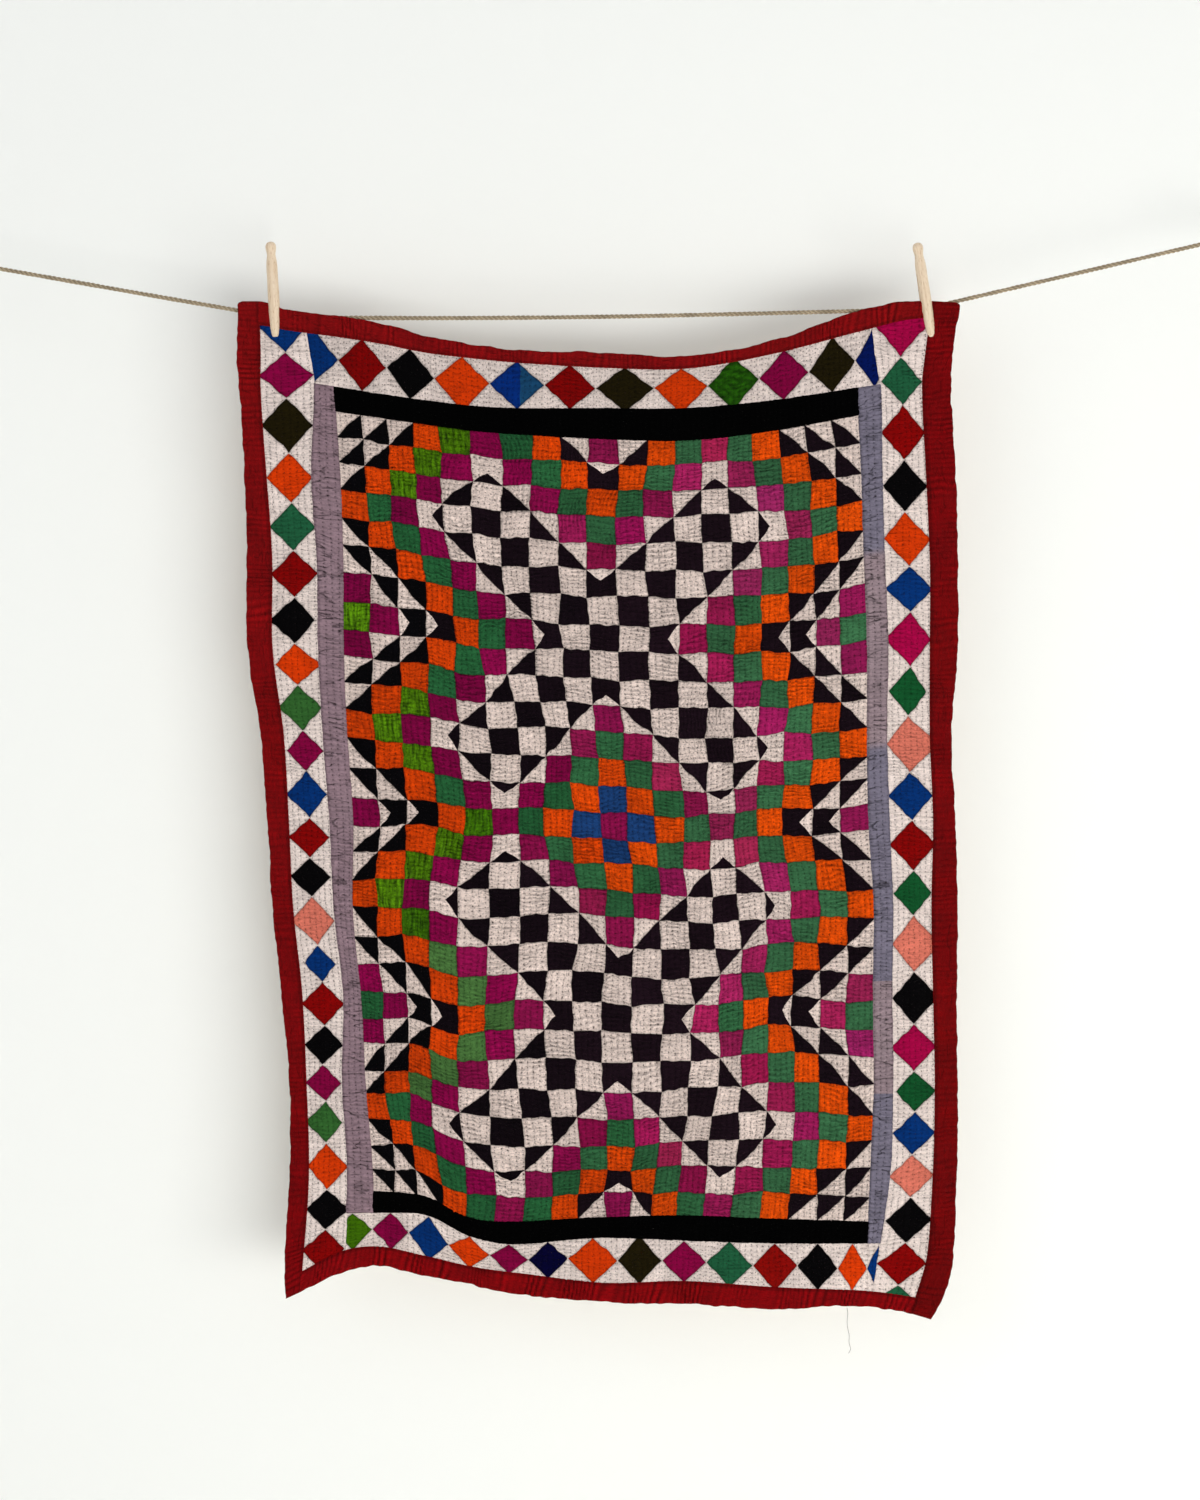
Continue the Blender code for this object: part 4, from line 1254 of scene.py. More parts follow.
# %% [markdown]
# The plain strips
#
# Lavender strips run down both sides of the field and black strips close its top and bottom. They
# are laid over the raw edges of the patchwork with their own edges turned under, so each stands a
# little proud, rounds off at its edges, and is pulled into small scallops by the hem stitches. The
# lavender is thin, and drags into fine creases that cross it.

# %% Strips
STRIP_OVERLAP = 1.3
HEM_GAP = 4.7


def creases(x, y, wide, long, count, seed):
    """Fine creases that cross a strip in gentle curves."""
    draw = np.random.default_rng(seed)
    total = np.zeros(np.shape(x))
    for _ in range(count):
        at, slant, bow = draw.uniform(0, long), draw.uniform(-0.45, 0.45), draw.uniform(-4, 4)
        start, end = sorted(draw.uniform(0, wide, 2))
        share = x / wide
        line = at + slant * (x - wide / 2) + bow * 4 * share * (1 - share)
        within = soft_step((x - start + 3) / 3) * soft_step((end + 3 - x) / 3)
        total = total + draw.uniform(0.4, 1.0) * within * np.exp(-((y - line) / 0.9) ** 2)
    return np.minimum(total, 1.2)


def between_seams(seams, share_across, share_down):
    """Across and down of a place between four seams; shares may run a little past 0 and 1."""
    left, right, top, bottom = seams
    return meeting(lambda down: part_way(DOWN_SEAMS, left, right, share_across, down),
                   lambda across: part_way(ACROSS_SEAMS, top, bottom, share_down, across),
                   np.shape(share_across))


def even_lines(length, step, overlap):
    """Lines along a strip, crowded at its two turned-under ends."""
    inner = np.linspace(1.2 - overlap, length - 1.2 + overlap, int(length / step))
    return np.concatenate([[-overlap, 0.3 - overlap], inner, [length - 0.3 + overlap, length + overlap]])


def strip(node, seams, size, step, raised, finish, colour, crease_count, seed, runs_down):
    """A plain strip between seams, given as left, right, top and bottom."""
    wide, long = size
    x, y = np.meshgrid(even_lines(wide, step, STRIP_OVERLAP), even_lines(long, step, STRIP_OVERLAP))
    along, across, span = (y, x, wide) if runs_down else (x, y, long)
    to_edge = np.minimum(np.minimum(x, wide - x), np.minimum(y, long - y)) + STRIP_OVERLAP
    scallop = 0.45 * np.abs(np.sin(pi * along / HEM_GAP + swell(along, 0, 40, seed)))
    outward = np.sign(across - span / 2) * soft_step(1 - to_edge / 4) * scallop
    moved_x, moved_y = (x + outward, y) if runs_down else (x, y + outward)

    def spread(flat_x, flat_y):
        return between_seams(seams, flat_x / wide, flat_y / long)

    crease = creases(across, along, span, long if runs_down else wide, crease_count, seed)

    def lift(flat_x, flat_y):
        return raised - 0.5 + drawn_in(flat_x, flat_y, 0.6)

    level = np.maximum(lift(x, y) - 0.75 * crease - 1.9 * np.exp(-(to_edge / 0.75) ** 2), -DEEPEST)
    quilt_across, quilt_down = spread(moved_x, moved_y)
    points = place(quilt_across, quilt_down, CLOTH_FRONT + fold_depth(quilt_across, quilt_down) + level)
    middle_along = (along[:-1, :-1] + along[1:, 1:]) / 2
    dyes = np.repeat(colour(middle_along)[..., None, :], 2, axis=2)
    shade = (1 - 0.6 * np.minimum(crease, 1.0)) * (1 - 0.3 * np.exp(-to_edge / SHADOW_WIDE))
    made = cloth(node + "_sewn", points, by_turns(*x.shape), dyes, shade, np.stack([x, y], -1), finish,
                 sewn=(sewn_places(x, y),))
    tell_frame(node, wide + 2 * STRIP_OVERLAP, long + 2 * STRIP_OVERLAP)
    print(made.name, len(made.data.polygons), "triangles")
    return spread, lift


def all_one(colour):
    """A strip that is one dye from end to end."""
    return lambda along: np.broadcast_to(colour, np.shape(along) + (3,))


def lavender_right(along):
    """Joined lengths of two cloths: blue-grey, lavender, and blue-grey again."""
    lavender, grey = dye(140, 121, 126), dye(112, 106, 121)
    greyer = 1 - soft_step((along - 185) / 12) + soft_step((along - 405) / 14)
    greyer = greyer * (along < 680) + 1.0 * (along >= 808)
    return blend(lavender, grey, greyer[..., None])


side_strips = []
for side, left, right, size, step, colour, crease_count, seed in (
        ("left", LAVENDER_LEFT, FIELD_LEFT, (23.0, 952.0), 1.7, all_one(dye(136, 112, 120)), 60, 51),
        ("right", FIELD_RIGHT, LAVENDER_RIGHT, (20.0, 980.0), 1.6, lavender_right, 56, 52)):
    spread, lift = strip(f"lavender_strip_{side}", (left, right, BLACK_TOP, BLACK_BOTTOM), size, step,
                         0.9, lavender_cotton, colour, crease_count, seed, True)
    side_strips.append((side, size, spread, lift))
for side, top, bottom, size, seed in (("top", BLACK_TOP, FIELD_TOP, (604.0, 31.0), 53),
                                      ("bottom", FIELD_BOTTOM, BLACK_BOTTOM, (580.0, 24.0), 54)):
    strip(f"black_strip_{side}", (FIELD_LEFT, FIELD_RIGHT, top, bottom), size, 2.2,
          0.7, black_cotton, all_one(dye(1, 1, 1)), 14, seed, False)
for side, size, spread, lift in side_strips:
    sew(f"strip_stitches_{side}", "lavender_cotton", spread, lift, *row_stitches(*size))

# %% [markdown]
# The red bindings
#
# A binding is a strip folded over the quilt's raw edge and hemmed on both sides. Its section starts
# turned under on the front, crosses to the edge, rounds it, and ends turned under on the back. The
# cloth was eased in as it was sewn, so it stands in little puckers that cross it, tightest along the
# bottom and at the top right.

# %% The section of a binding
BINDING_STEP = 1.8
PUCKER_GAP = 6.4
PUCKER_DEEPEST = -1.6
BACK_HEM = 0.97
CORNER_ROUND = 4.5
BINDING_FRONT, BINDING_BACK = CLOTH_FRONT + 0.2, CLOTH_BACK - 0.4
MIDDLE_LEVEL = (CLOTH_BACK + CLOTH_FRONT) / 2
# the share of the width and the millimetres that each point lies inward of the edge, and its level
FRONT_SECTION = [
    (1, 1.5, BINDING_FRONT - 1.7), (1, 1.35, BINDING_FRONT - 0.7), (1, 0.8, BINDING_FRONT - 0.15),
    (1, -0.4, BINDING_FRONT), (0.86, 0, BINDING_FRONT), (0.72, 0, BINDING_FRONT), (0.58, 0, BINDING_FRONT),
    (0.44, 0, BINDING_FRONT), (0.31, 0, BINDING_FRONT), (0.19, 0, BINDING_FRONT),
    (0, 1.5, BINDING_FRONT - 0.25), (0, 0.45, MIDDLE_LEVEL + 1.2), (0, 0, MIDDLE_LEVEL),
]
BACK_SECTION = [
    (0, 0.45, MIDDLE_LEVEL - 1.2), (0, 1.6, BINDING_BACK + 0.1), (0.25, 0, BINDING_BACK),
    (0.45, 0, BINDING_BACK), (0.7, 0, BINDING_BACK), (BACK_HEM, -0.5, BINDING_BACK + 0.3),
    (BACK_HEM, 0, BINDING_BACK + 1.0),
]
SECTION = np.array(FRONT_SECTION + BACK_SECTION)
ON_FRONT = np.arange(len(SECTION)) < len(FRONT_SECTION)
FACING = np.where(ON_FRONT, 1.0, -1.0)
print("a binding has", len(SECTION), "points round its section")


# %% Puckers that cross a binding
def pucker_count(along, inward, slant, seed):
    """How many puckers lie between the start of a binding and a place on it."""
    drift = 0.8 * swell(along, 0, 75, seed) + 0.12 * swell(along, inward, 40, seed)
    return along / PUCKER_GAP + slant * inward / 20 + drift


def puckers(along, inward, strength, slant, seed):
    """Small ridges that cross a binding."""
    height = 0.5 + 0.5 * swell(along, inward * 0.3, 34, seed + 1)
    turn = 2 * pi * pucker_count(along, inward, slant, seed)
    ridge = -strength * np.clip(height, 0.1, 1.3) * (np.cos(turn) + 0.3 * np.cos(2 * turn))
    return np.maximum(ridge, PUCKER_DEEPEST)


print("a pucker every", PUCKER_GAP, "mm")


# %% Sew the bindings
def binding_run(outer, inner, ends, runs_down):
    """Even steps along a binding, with its outer edge and the seam inside it at each step."""
    def meet(seam, where):
        return np.array(on_quilt(seam, where) if runs_down else on_quilt(where, seam))

    fine = np.linspace(*ends, 6000)
    run = np.concatenate([[0.0], np.cumsum(np.hypot(*np.diff(meet(outer, fine))))])
    along = np.linspace(0.0, run[-1], int(run[-1] / BINDING_STEP))
    where = np.interp(along, run, fine)
    return along, meet(outer, where), meet(inner, where)


def edge_stray(along, strength, closing, runs_down, seed):
    """How far a binding's edge wavers, and rounds off where a side binding starts."""
    waver = strength * (0.7 * swell(along, 0, 40, seed + 3) + 0.4 * swell(along, 0, 13, seed + 4))
    corner = np.minimum(1.0, along / CORNER_ROUND) if runs_down else np.ones(along.shape)
    return waver * closing + CORNER_ROUND * (1 - np.sqrt(1 - (1 - corner) ** 2))


def binding(side, outer, inner, ends, colours, strengths, slant, proud, seed, finish):
    """A folded binding between an outer seam and the seam inside it."""
    runs_down = side in ("left", "right")
    along, edge, seam = binding_run(outer, inner, ends, runs_down)
    length, width = float(along[-1]), np.hypot(*(seam - edge))[:, None]
    inward = width * SECTION[:, 0] + SECTION[:, 1]
    share, along_grid = along[:, None] / length, np.broadcast_to(along[:, None], inward.shape)
    strength = np.interp(share, np.linspace(0, 1, len(strengths)), strengths)
    ridge = puckers(along_grid, inward, strength, slant, seed)
    hem_at, held = width * np.where(ON_FRONT, 1.0, BACK_HEM), np.where(ON_FRONT, 0.5, 1.0)
    near_hem = np.clip((inward + 1) / 3, 0, 1) * (1 - held * np.exp(-((inward - hem_at) / 2.4) ** 2))
    relief = ridge + 0.15 * swell(along_grid, inward, 14, seed + 2)
    level = SECTION[:, 2] + FACING * near_hem * relief
    closing = np.minimum(1.0, np.minimum(along, length - along) / 2.5)
    closed = np.sqrt(np.maximum(0.0, 1 - (1 - closing) ** 2))[:, None]
    level = MIDDLE_LEVEL + (level - MIDDLE_LEVEL) * closed + proud * FACING * closed
    stray = edge_stray(along, strengths[0], closing, runs_down, seed)[:, None]
    inward = inward + stray * np.exp(-inward / 5)
    scallop = 0.4 * np.abs(np.sin(pi * along / 4.6 + swell(along, 0, 40, seed + 5)))[:, None]
    inward = inward + scallop * (np.abs(inward - width) < 3)
    flat_across = np.cumsum(np.abs(np.diff(inward, axis=1, prepend=inward[:, :1])), axis=1)
    across, down = edge[..., None] + inward * ((seam - edge)[..., None] / width)
    points = place(across, down, level + fold_depth(across, down))
    rows, columns = inward.shape
    mix = np.broadcast_to(share[:-1, :, None], (rows - 1, columns - 1, 1))
    dyes = np.repeat(blend(*colours, mix)[:, :, None, :], 2, axis=2)
    # painted highlight on the pucker ridges, painted shade in their hollows and along the hem; the swell
    # below is real tone
    shade = (1 + 0.5 * np.clip(ridge, -1.2, 1)) * (1 - 0.45 * np.exp(-((inward - width) / 1.2) ** 2))
    shade = shade * (1 + 0.06 * swell(along_grid, inward, 70, seed + 6))
    # counted also sets where the finish paints shade into the pucker grooves
    counted = pucker_count(along_grid, inward, slant, seed)
    made = cloth(f"red_binding_{side}", points, by_turns(rows, columns), dyes, shade,
                 np.stack([along_grid, flat_across], -1), finish,
                 turned=(side in ("left", "bottom")), sewn=(np.stack([0.5 + 0 * counted, counted], -1),))
    around = float(flat_across[:, -1].mean())
    wide, long = (around, length) if runs_down else (length, around)
    tell_frame(f"binding_{side}", wide, long)
    print(made.name, "long", round(length), "mm,", len(made.data.polygons), "triangles")


RED, DARK_RED, WARM_RED = dye(120, 2, 6), dye(108, 2, 3), dye(130, 8, 11)
DOWN_ENDS, ACROSS_ENDS = (EDGE_TOP, EDGE_BOTTOM), (0.93, 6.07)
# side, outer and inner seam, ends, dyes, strengths of the puckers along it, their slant, how proud
# it stands, seed and finish
BINDINGS = [
    ("left", EDGE_LEFT, RED_LEFT, DOWN_ENDS, (WARM_RED, RED),
     (0.7, 0.5, 0.4, 0.4, 0.6), 0.2, 0.25, 61, red_cotton),
    ("right", EDGE_RIGHT, RED_RIGHT, DOWN_ENDS, (RED, DARK_RED),
     (0.7, 0.45, 0.35, 0.35, 0.5), -0.2, 0.25, 62, red_cotton),
    ("top", EDGE_TOP, RED_TOP, ACROSS_ENDS, (WARM_RED, WARM_RED),
     (0.8, 0.7, 0.6, 1.0, 1.3), 0.3, 0.0, 63, red_cotton),
    ("bottom", EDGE_BOTTOM, RED_BOTTOM, ACROSS_ENDS, (RED, RED),
     (1.0, 1.25, 1.15, 1.15, 1.0), -0.6, 0.0, 64, gathered_cotton),
]
for row in BINDINGS:
    binding(*row)

# %% [markdown]
# The backing
#
# The back is one plain cotton cloth. It shows the same rows of quilting as the front, with longer
# gaps of thread, because a running stitch goes in and out through every layer. Its edges run on
# inside the bindings: past their hems it dips into the quilt, so no gap shows and nothing pokes out.

# %% Backing
SEAM_ACROSS = np.cumsum([0, 24, 51, 24, 600, 21, 51, 29]).astype(float)
SEAM_DOWN = np.cumsum([0, 20, 52, 28, 916, 23, 52, 22]).astype(float)
BACKING_STEP, BACKING_INSET, BACKING_RAISED = 4.6, 12.0, 0.3


def back_spread(x, y):
    """Across and down of a flat place on the backing."""
    columns, rows = np.arange(float(len(SEAM_ACROSS))), np.arange(float(len(SEAM_DOWN)))
    return on_quilt(np.interp(x, SEAM_ACROSS, columns), np.interp(y, SEAM_DOWN, rows))


def inside_hems(x, y):
    """How far a flat place on the backing lies inside the hems of the bindings."""
    gaps = []
    for at, seams in ((x, SEAM_ACROSS), (y, SEAM_DOWN)):
        gaps += [at - BACK_HEM * seams[1], seams[-1] - at - BACK_HEM * (seams[-1] - seams[-2])]
    return np.minimum.reduce(gaps)


def back_lift(x, y):
    """Quilted relief that dies out at the hems, beyond which the backing dips inside the bindings."""
    inside = inside_hems(x, y)
    relief = np.maximum(drawn_in(x, y, 0.8), -0.6) * soft_step(inside / 6.0)
    return relief - 1.3 * soft_step((-0.5 - inside) / 2.5)


back_wide, back_long = SEAM_ACROSS[-1], SEAM_DOWN[-1]
x, y = np.meshgrid(np.arange(BACKING_INSET, back_wide - BACKING_INSET, BACKING_STEP),
                   np.arange(BACKING_INSET, back_long - BACKING_INSET, BACKING_STEP))
across, down = back_spread(x, y)
points = place(across, down, CLOTH_BACK + BACKING_RAISED + fold_depth(across, down) - back_lift(x, y))
dyes = np.broadcast_to(dye(206, 192, 172), (x.shape[0] - 1, x.shape[1] - 1, 2, 3))
backing_cotton = cotton("backing cotton", slub=0.2, quilted=0.55, stray=0.6, wrinkled=0.1)
backing = cloth("backing", points, by_turns(*x.shape), dyes, np.ones(x.shape), np.stack([x, y], -1),
                backing_cotton, turned=True, sewn=(sewn_places(x, y),))
tell_frame(None, back_wide - 2 * BACKING_INSET, back_long - 2 * BACKING_INSET)
print("backing", len(backing.data.polygons), "triangles")

# %% Stitches of the backing
x, y = row_stitches(back_wide, back_long)
inside = inside_hems(x, y) > STITCH_GAP
x, y = x[inside], y[inside] + STITCH_GAP / 2
upper = y < MIDDLE_DOWN
for name, part in (("backing_stitches_upper", upper), ("backing_stitches_lower", ~upper)):
    sew(name, "ivory_patchwork", back_spread, back_lift, x[part], y[part], length=2.6, back=True)

# %% [markdown]
# The clothes line
#
# The line is a three-strand laid rope, 5.2 mm thick. A round tube would look like wire, so its
# section is three lobes, turned once every 17 mm as it is swept along the line's route. The shade
# painted into its grooves comes from the same section. Something outside the view holds it taut at
# both ends.

# %% Sweep a laid rope along a route
LINE_DIAMETER = 5.2
LAY_LENGTH = 17.0
STRAND_SIDES = 18
ROPE_DYE = dye(176, 158, 130)
LINE_ROUTE = np.array([
    (-712, -40.7), (-640, -28.0), (-560, -13.9), (-490, -1.6), (-430, 8.7), (-395, 14.8), (-373, 17.8),
    (-350, 18.8), (-290, 19.4), (-200, 19.8), (-100, 19.4), (0, 18.3), (110, 16.2), (220, 13.6),
    (310, 11.2), (355, 9.9), (378, 7.6), (400, 3.0), (440, -6.3), (510, -22.6), (590, -41.2),
    (650, -55.2), (712, -69.6),
])


def even_route(points, step):
    """The same route in even steps, and how far along each point lies."""
    run = np.concatenate([[0.0], np.cumsum(np.linalg.norm(np.diff(points, axis=0), axis=1))])
    along = np.linspace(0.0, run[-1], int(run[-1] / step) + 1)
    return np.stack([np.interp(along, run, points[:, i]) for i in range(points.shape[1])], 1), along


def laid_rope(route, radius, step=1.25, lay=LAY_LENGTH, start_turn=0.0):
    """Points, faces, dyes and flat places of a three-strand rope along a route in millimetres."""
    centres, along = even_route(np.asarray(route, float), step)
    ahead = np.gradient(centres, axis=0)
    ahead /= np.linalg.norm(ahead, axis=1, keepdims=True)
    side = np.zeros_like(centres)
    guide = np.cross(ahead[0], (0.0, 1.0, 0.3))
    for index, direction in enumerate(ahead):
        guide = guide - direction * guide.dot(direction)
        guide = guide / np.linalg.norm(guide)
        side[index] = guide
    up = np.cross(ahead, side)
    angle = np.linspace(0, 2 * pi, STRAND_SIDES, endpoint=False)
    lobe = (angle + pi / 3) % (2 * pi / 3) - pi / 3
    section = 0.5 * np.cos(lobe) + np.sqrt(np.maximum(0.25 - 0.25 * np.sin(lobe) ** 2, 0.0))
    fray = 1 + 0.05 * swell(along, 0, 23, 71)
    turned = angle[None, :] + (start_turn + 2 * pi * along / lay)[:, None]
    reach = (radius * section)[None, :] * fray[:, None]
    points = (centres[:, None] + reach[..., None] * (np.cos(turned)[..., None] * side[:, None]
                                                     + np.sin(turned)[..., None] * up[:, None]))
    points = np.concatenate([points.reshape(-1, 3), centres[:1], centres[-1:]])
    rows = len(centres)
    corner = np.arange(rows * STRAND_SIDES).reshape(rows, STRAND_SIDES)
    after = np.roll(corner, -1, axis=1)
    first, last = np.full(STRAND_SIDES, corner.size), np.full(STRAND_SIDES, corner.size + 1)
    triples = ((corner[:-1], after[:-1], after[1:]), (corner[:-1], after[1:], corner[1:]),
               (first, after[0], corner[0]), (last, corner[-1], after[-1]))
    faces = np.concatenate([np.stack(triple, -1).reshape(-1, 3) for triple in triples])
    # painted shade in the grooves between the strands, times real tone that varies along the rope; the two
    # end points are darker too
    groove = 0.42 + 0.58 * ((section - 0.5) / 0.5) ** 0.8
    tone = groove[None, :] * (1 + 0.10 * swell(along, 0, 31, 72))[:, None]
    dyes = ROPE_DYE * np.append(tone, [0.8, 0.8])[faces][..., None]
    flat = np.stack(np.broadcast_arrays(along[:, None], (angle * radius)[None, :]), -1).reshape(-1, 2)
    flat = np.concatenate([flat, flat[:1], flat[-1:]])
    return points, faces, dyes, flat[faces] * MM


def rope_finish():
    """Fibres that run along the strands, over the dye of each strand."""
    made, shader, node, link = new_finish("natural rope")
    flat = node("ShaderNodeUVMap", [("uv_map", "Cloth")]).outputs["UV"]
    colour = node("ShaderNodeAttribute", [("attribute_name", "Dye")]).outputs["Color"]
    fibres = noise(node, flat, squash=(300.0, 2600.0, 1.0), turn=(0, 0, 0.75), Detail=4.0)
    light = remap(node, fibres, 0.3, 0.7, 0.72, 1.2)
    toned = node("ShaderNodeVectorMath", [("operation", "SCALE")], Scale=light)
    link(colour, toned.inputs[0])
    link(toned.outputs[0], shader.inputs["Base Color"])
    bump = node("ShaderNodeBump", Strength=0.5, Distance=0.0005, Height=fibres)
    link(bump.outputs["Normal"], shader.inputs["Normal"])
    link(remap(node, fibres, 0.3, 0.7, 0.8, 0.95), shader.inputs["Roughness"])
    shader.inputs["Specular IOR Level"].default_value = 0.25
    return made


rope_look = rope_finish()
across = np.linspace(LINE_ROUTE[0, 0], LINE_ROUTE[-1, 0], 400)
down = smooth_through(LINE_ROUTE[:, 0], LINE_ROUTE[:, 1], across)
line_path = place(across, down, 0 * across)
points, faces, dyes, flats = laid_rope(line_path / MM, LINE_DIAMETER / 2)
clothes_line = build("clothes_line", points * MM, faces, dyes, flats, rope_look)
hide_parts("line")

# %% [markdown]
# The loops at its ends
#
# Each end of the rope is turned back into a loop that hangs on a hook, and is wound four times round
# itself. The loop and the winding are the same laid rope, swept along a bent route and along a coil.

# %% Knotted loops
KNOT_LENGTH = 19.0
SEAM_GAP = 0.3
LOOP_LEG = np.array([(0, 3.2), (9, 3.7), (20, 7.4), (32, 11.2), (43, 9.6), (48.5, 0.0)])
WINDING_RADIUS = 5.0
WINDING_TURNS = 4


def loop_route():
    """Back from the knot, round the far end and home again, in millimetres."""
    legs = np.concatenate([LOOP_LEG, LOOP_LEG[-2::-1] * (1, -1)])
    where = np.linspace(0, len(legs) - 1, 90)
    run = smooth_through(np.arange(len(legs)), legs, where)
    return np.stack([-run[:, 0], 0 * where, run[:, 1]], 1)


def winding_route():
    """A coil round the knot, tucked in at both ends."""
    turn = np.linspace(0, 1, 220)
    radius = WINDING_RADIUS * soft_step(np.minimum(turn, 1 - turn) * 14)
    angle = turn * WINDING_TURNS * 2 * pi
    along = (turn - 0.5) * (KNOT_LENGTH - LINE_DIAMETER)
    return np.stack([along, radius * np.cos(angle), radius * np.sin(angle)], 1)


def tail_route():
    """The rope's short loose end, lying back along the line."""
    share = np.linspace(0, 1, 20)
    return np.stack([6.0 + 15.0 * share, 4.4 + 0.8 * share, -1.0 - 1.6 * share ** 2], 1)


def knotted_loop(name, node, end, inward):
    """A loop, its winding and its tail, laid out from the rope's end towards the next point inward."""
    parts, count = [], 0
    direction = np.array([inward[0] - end[0], -(inward[1] - end[1])], float)
    direction /= np.linalg.norm(direction)
    away = (KNOT_LENGTH / 2 + SEAM_GAP) * direction
    centre = place(np.array(end[0] - away[0]), np.array(end[1] + away[1]), np.array(0.0))
    forward, upward = np.array([direction[0], 0, direction[1]]), np.array([-direction[1], 0, direction[0]])
    for route, turn in ((loop_route(), 0.0), (winding_route(), 1.0), (tail_route(), 0.5)):
        points, faces, dyes, flats = laid_rope(route, LINE_DIAMETER / 2, step=1.5, start_turn=turn)
        parts.append((points, faces + count, dyes, flats))
        count += len(points)
    local, faces, dyes, flats = (np.concatenate(group) for group in zip(*parts))
    sideways = np.array([0, 1, 0])
    world = centre + MM * (local[:, :1] * forward + local[:, 1:2] * sideways + local[:, 2:] * upward)
    made = build(name, world, faces, dyes, flats, rope_look)
    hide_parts(node)
    low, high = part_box(node)
    print(name, "frame", [round((b - a) / MM, 1) for a, b in zip(low, high)],
          "made", (np.ptp(world, axis=0) / MM).round(1).tolist())
    return made


left_loop = knotted_loop("knotted_loop_left", "line_eye_left", LINE_ROUTE[0], LINE_ROUTE[1])
right_loop = knotted_loop("knotted_loop_right", "line_eye_right", LINE_ROUTE[-1], LINE_ROUTE[-2])

# %% [markdown]
# The pegs
#
# These are turned wooden pegs of the old kind: a knob, a neck, a straight body, and a saw cut that
# leaves two prongs. Each is made as a turner would see it. A small disc is extruded down ring by
# ring to the turned shape, a cutter with a rounded top saws the slot, and the prongs are pushed
# apart where they grip the cloth. Then its sharp edges are eased and it is leaned into place.

# %% Turn and saw a peg
# depth below the top of the knob, and radius
PEG_RINGS = [
    (0.5, 3.3), (1.4, 4.5), (2.7, 5.4), (4.4, 6.0), (6.3, 6.2), (8.2, 6.0), (10.0, 5.6), (12.0, 5.2),
    (14.5, 4.9), (17.0, 5.1), (20.0, 5.6), (23.5, 6.1), (28.0, 6.4), (38.0, 6.5), (44.0, 6.55),
    (50.0, 6.6), (56.0, 6.6), (62.0, 6.6), (80.0, 6.6), (92.0, 6.3), (101.0, 5.6), (107.0, 4.7),
    (109.3, 4.0), (110.0, 3.4),
]
PEG_TOP_RADIUS = 1.8
SLOT_TOP, SLOT_HALF = 38.0, 2.3
PRONG_GRIP, PRONG_SPREAD = 62.0, 1.6
BAR_LENGTH, BAR_WIDE = 90.0, 20.0
PEG_FORWARD = 1.7
EASE_WIDTH, EASE_ANGLE, SMOOTH_ANGLE = 0.35, radians(42), radians(38)
PEG_SIDES = 28


def select_where(made, test):
    """In edit mode, select only the vertices whose place passes a test."""
    bpy.ops.mesh.select_all(action="DESELECT")
    bpy.ops.object.mode_set(mode="OBJECT")
    for vertex in made.data.vertices:
        vertex.select = bool(test(vertex.co))
    bpy.ops.object.mode_set(mode="EDIT")


def turned_body():
    """A small disc, extruded down ring by ring to the turned shape of a peg."""
    bpy.ops.object.select_all(action="DESELECT")
    bpy.ops.mesh.primitive_circle_add(vertices=PEG_SIDES, radius=PEG_TOP_RADIUS * MM, fill_type="NGON",
                                      location=(0, 0, 0))
    made = bpy.context.object
    bpy.ops.object.mode_set(mode="EDIT")
    bpy.ops.mesh.select_mode(type="VERT")
    depth, radius = 0.0, PEG_TOP_RADIUS
    for next_depth, next_radius in PEG_RINGS:
        bpy.ops.mesh.extrude_region_move(TRANSFORM_OT_translate={"value": (0, 0, (depth - next_depth) * MM)})
        share = next_radius / radius
        bpy.ops.transform.resize(value=(share, share, 1), center_override=(0, 0, -next_depth * MM))
        depth, radius = next_depth, next_radius
    bpy.ops.mesh.select_all(action="SELECT")
    bpy.ops.mesh.normals_make_consistent(inside=False)
    bpy.ops.object.mode_set(mode="OBJECT")
    return made


def saw_slot(made):
    """Cut the slot with a rounded bar, then push the prongs apart."""
    bpy.ops.object.select_all(action="DESELECT")
    bar_middle = SLOT_TOP - SLOT_HALF + BAR_LENGTH / 2
    bpy.ops.mesh.primitive_cube_add(size=1.0, location=(0, 0, -bar_middle * MM))
    bar = bpy.context.object
    bar.scale = (BAR_WIDE * MM, 2 * SLOT_HALF * MM, BAR_LENGTH * MM)
    bpy.ops.object.transform_apply(location=True, scale=True)
    bpy.ops.object.mode_set(mode="EDIT")
    select_where(bar, lambda co: co.z > -SLOT_TOP * MM)
    bpy.ops.mesh.bevel(offset=SLOT_HALF * 0.96 * MM, segments=6, affect="EDGES")
    bpy.ops.object.mode_set(mode="OBJECT")
    cut_slot = made.modifiers.new("slot", "BOOLEAN")
    cut_slot.operation, cut_slot.object = "DIFFERENCE", bar
    bpy.ops.object.select_all(action="DESELECT")
    made.select_set(True)
    bpy.context.view_layer.objects.active = made
    bpy.ops.object.modifier_apply(modifier="slot")
    bpy.data.objects.remove(bar)
    bpy.ops.object.mode_set(mode="EDIT")
    levels = sorted({depth for depth, _ in PEG_RINGS if depth > SLOT_TOP})
    for upper, lower in zip(levels, levels[1:] + [PEG_RINGS[-1][0] + 5]):
        push = PRONG_SPREAD * float(soft_step((upper - SLOT_TOP) / (PRONG_GRIP - SLOT_TOP))) * MM
        for side in (1, -1):
            select_where(made, lambda co: side * co.y > 0 and upper - 0.3 < -co.z / MM < lower - 0.3)
            bpy.ops.transform.translate(value=(0, side * push, 0))
    bpy.ops.object.mode_set(mode="OBJECT")


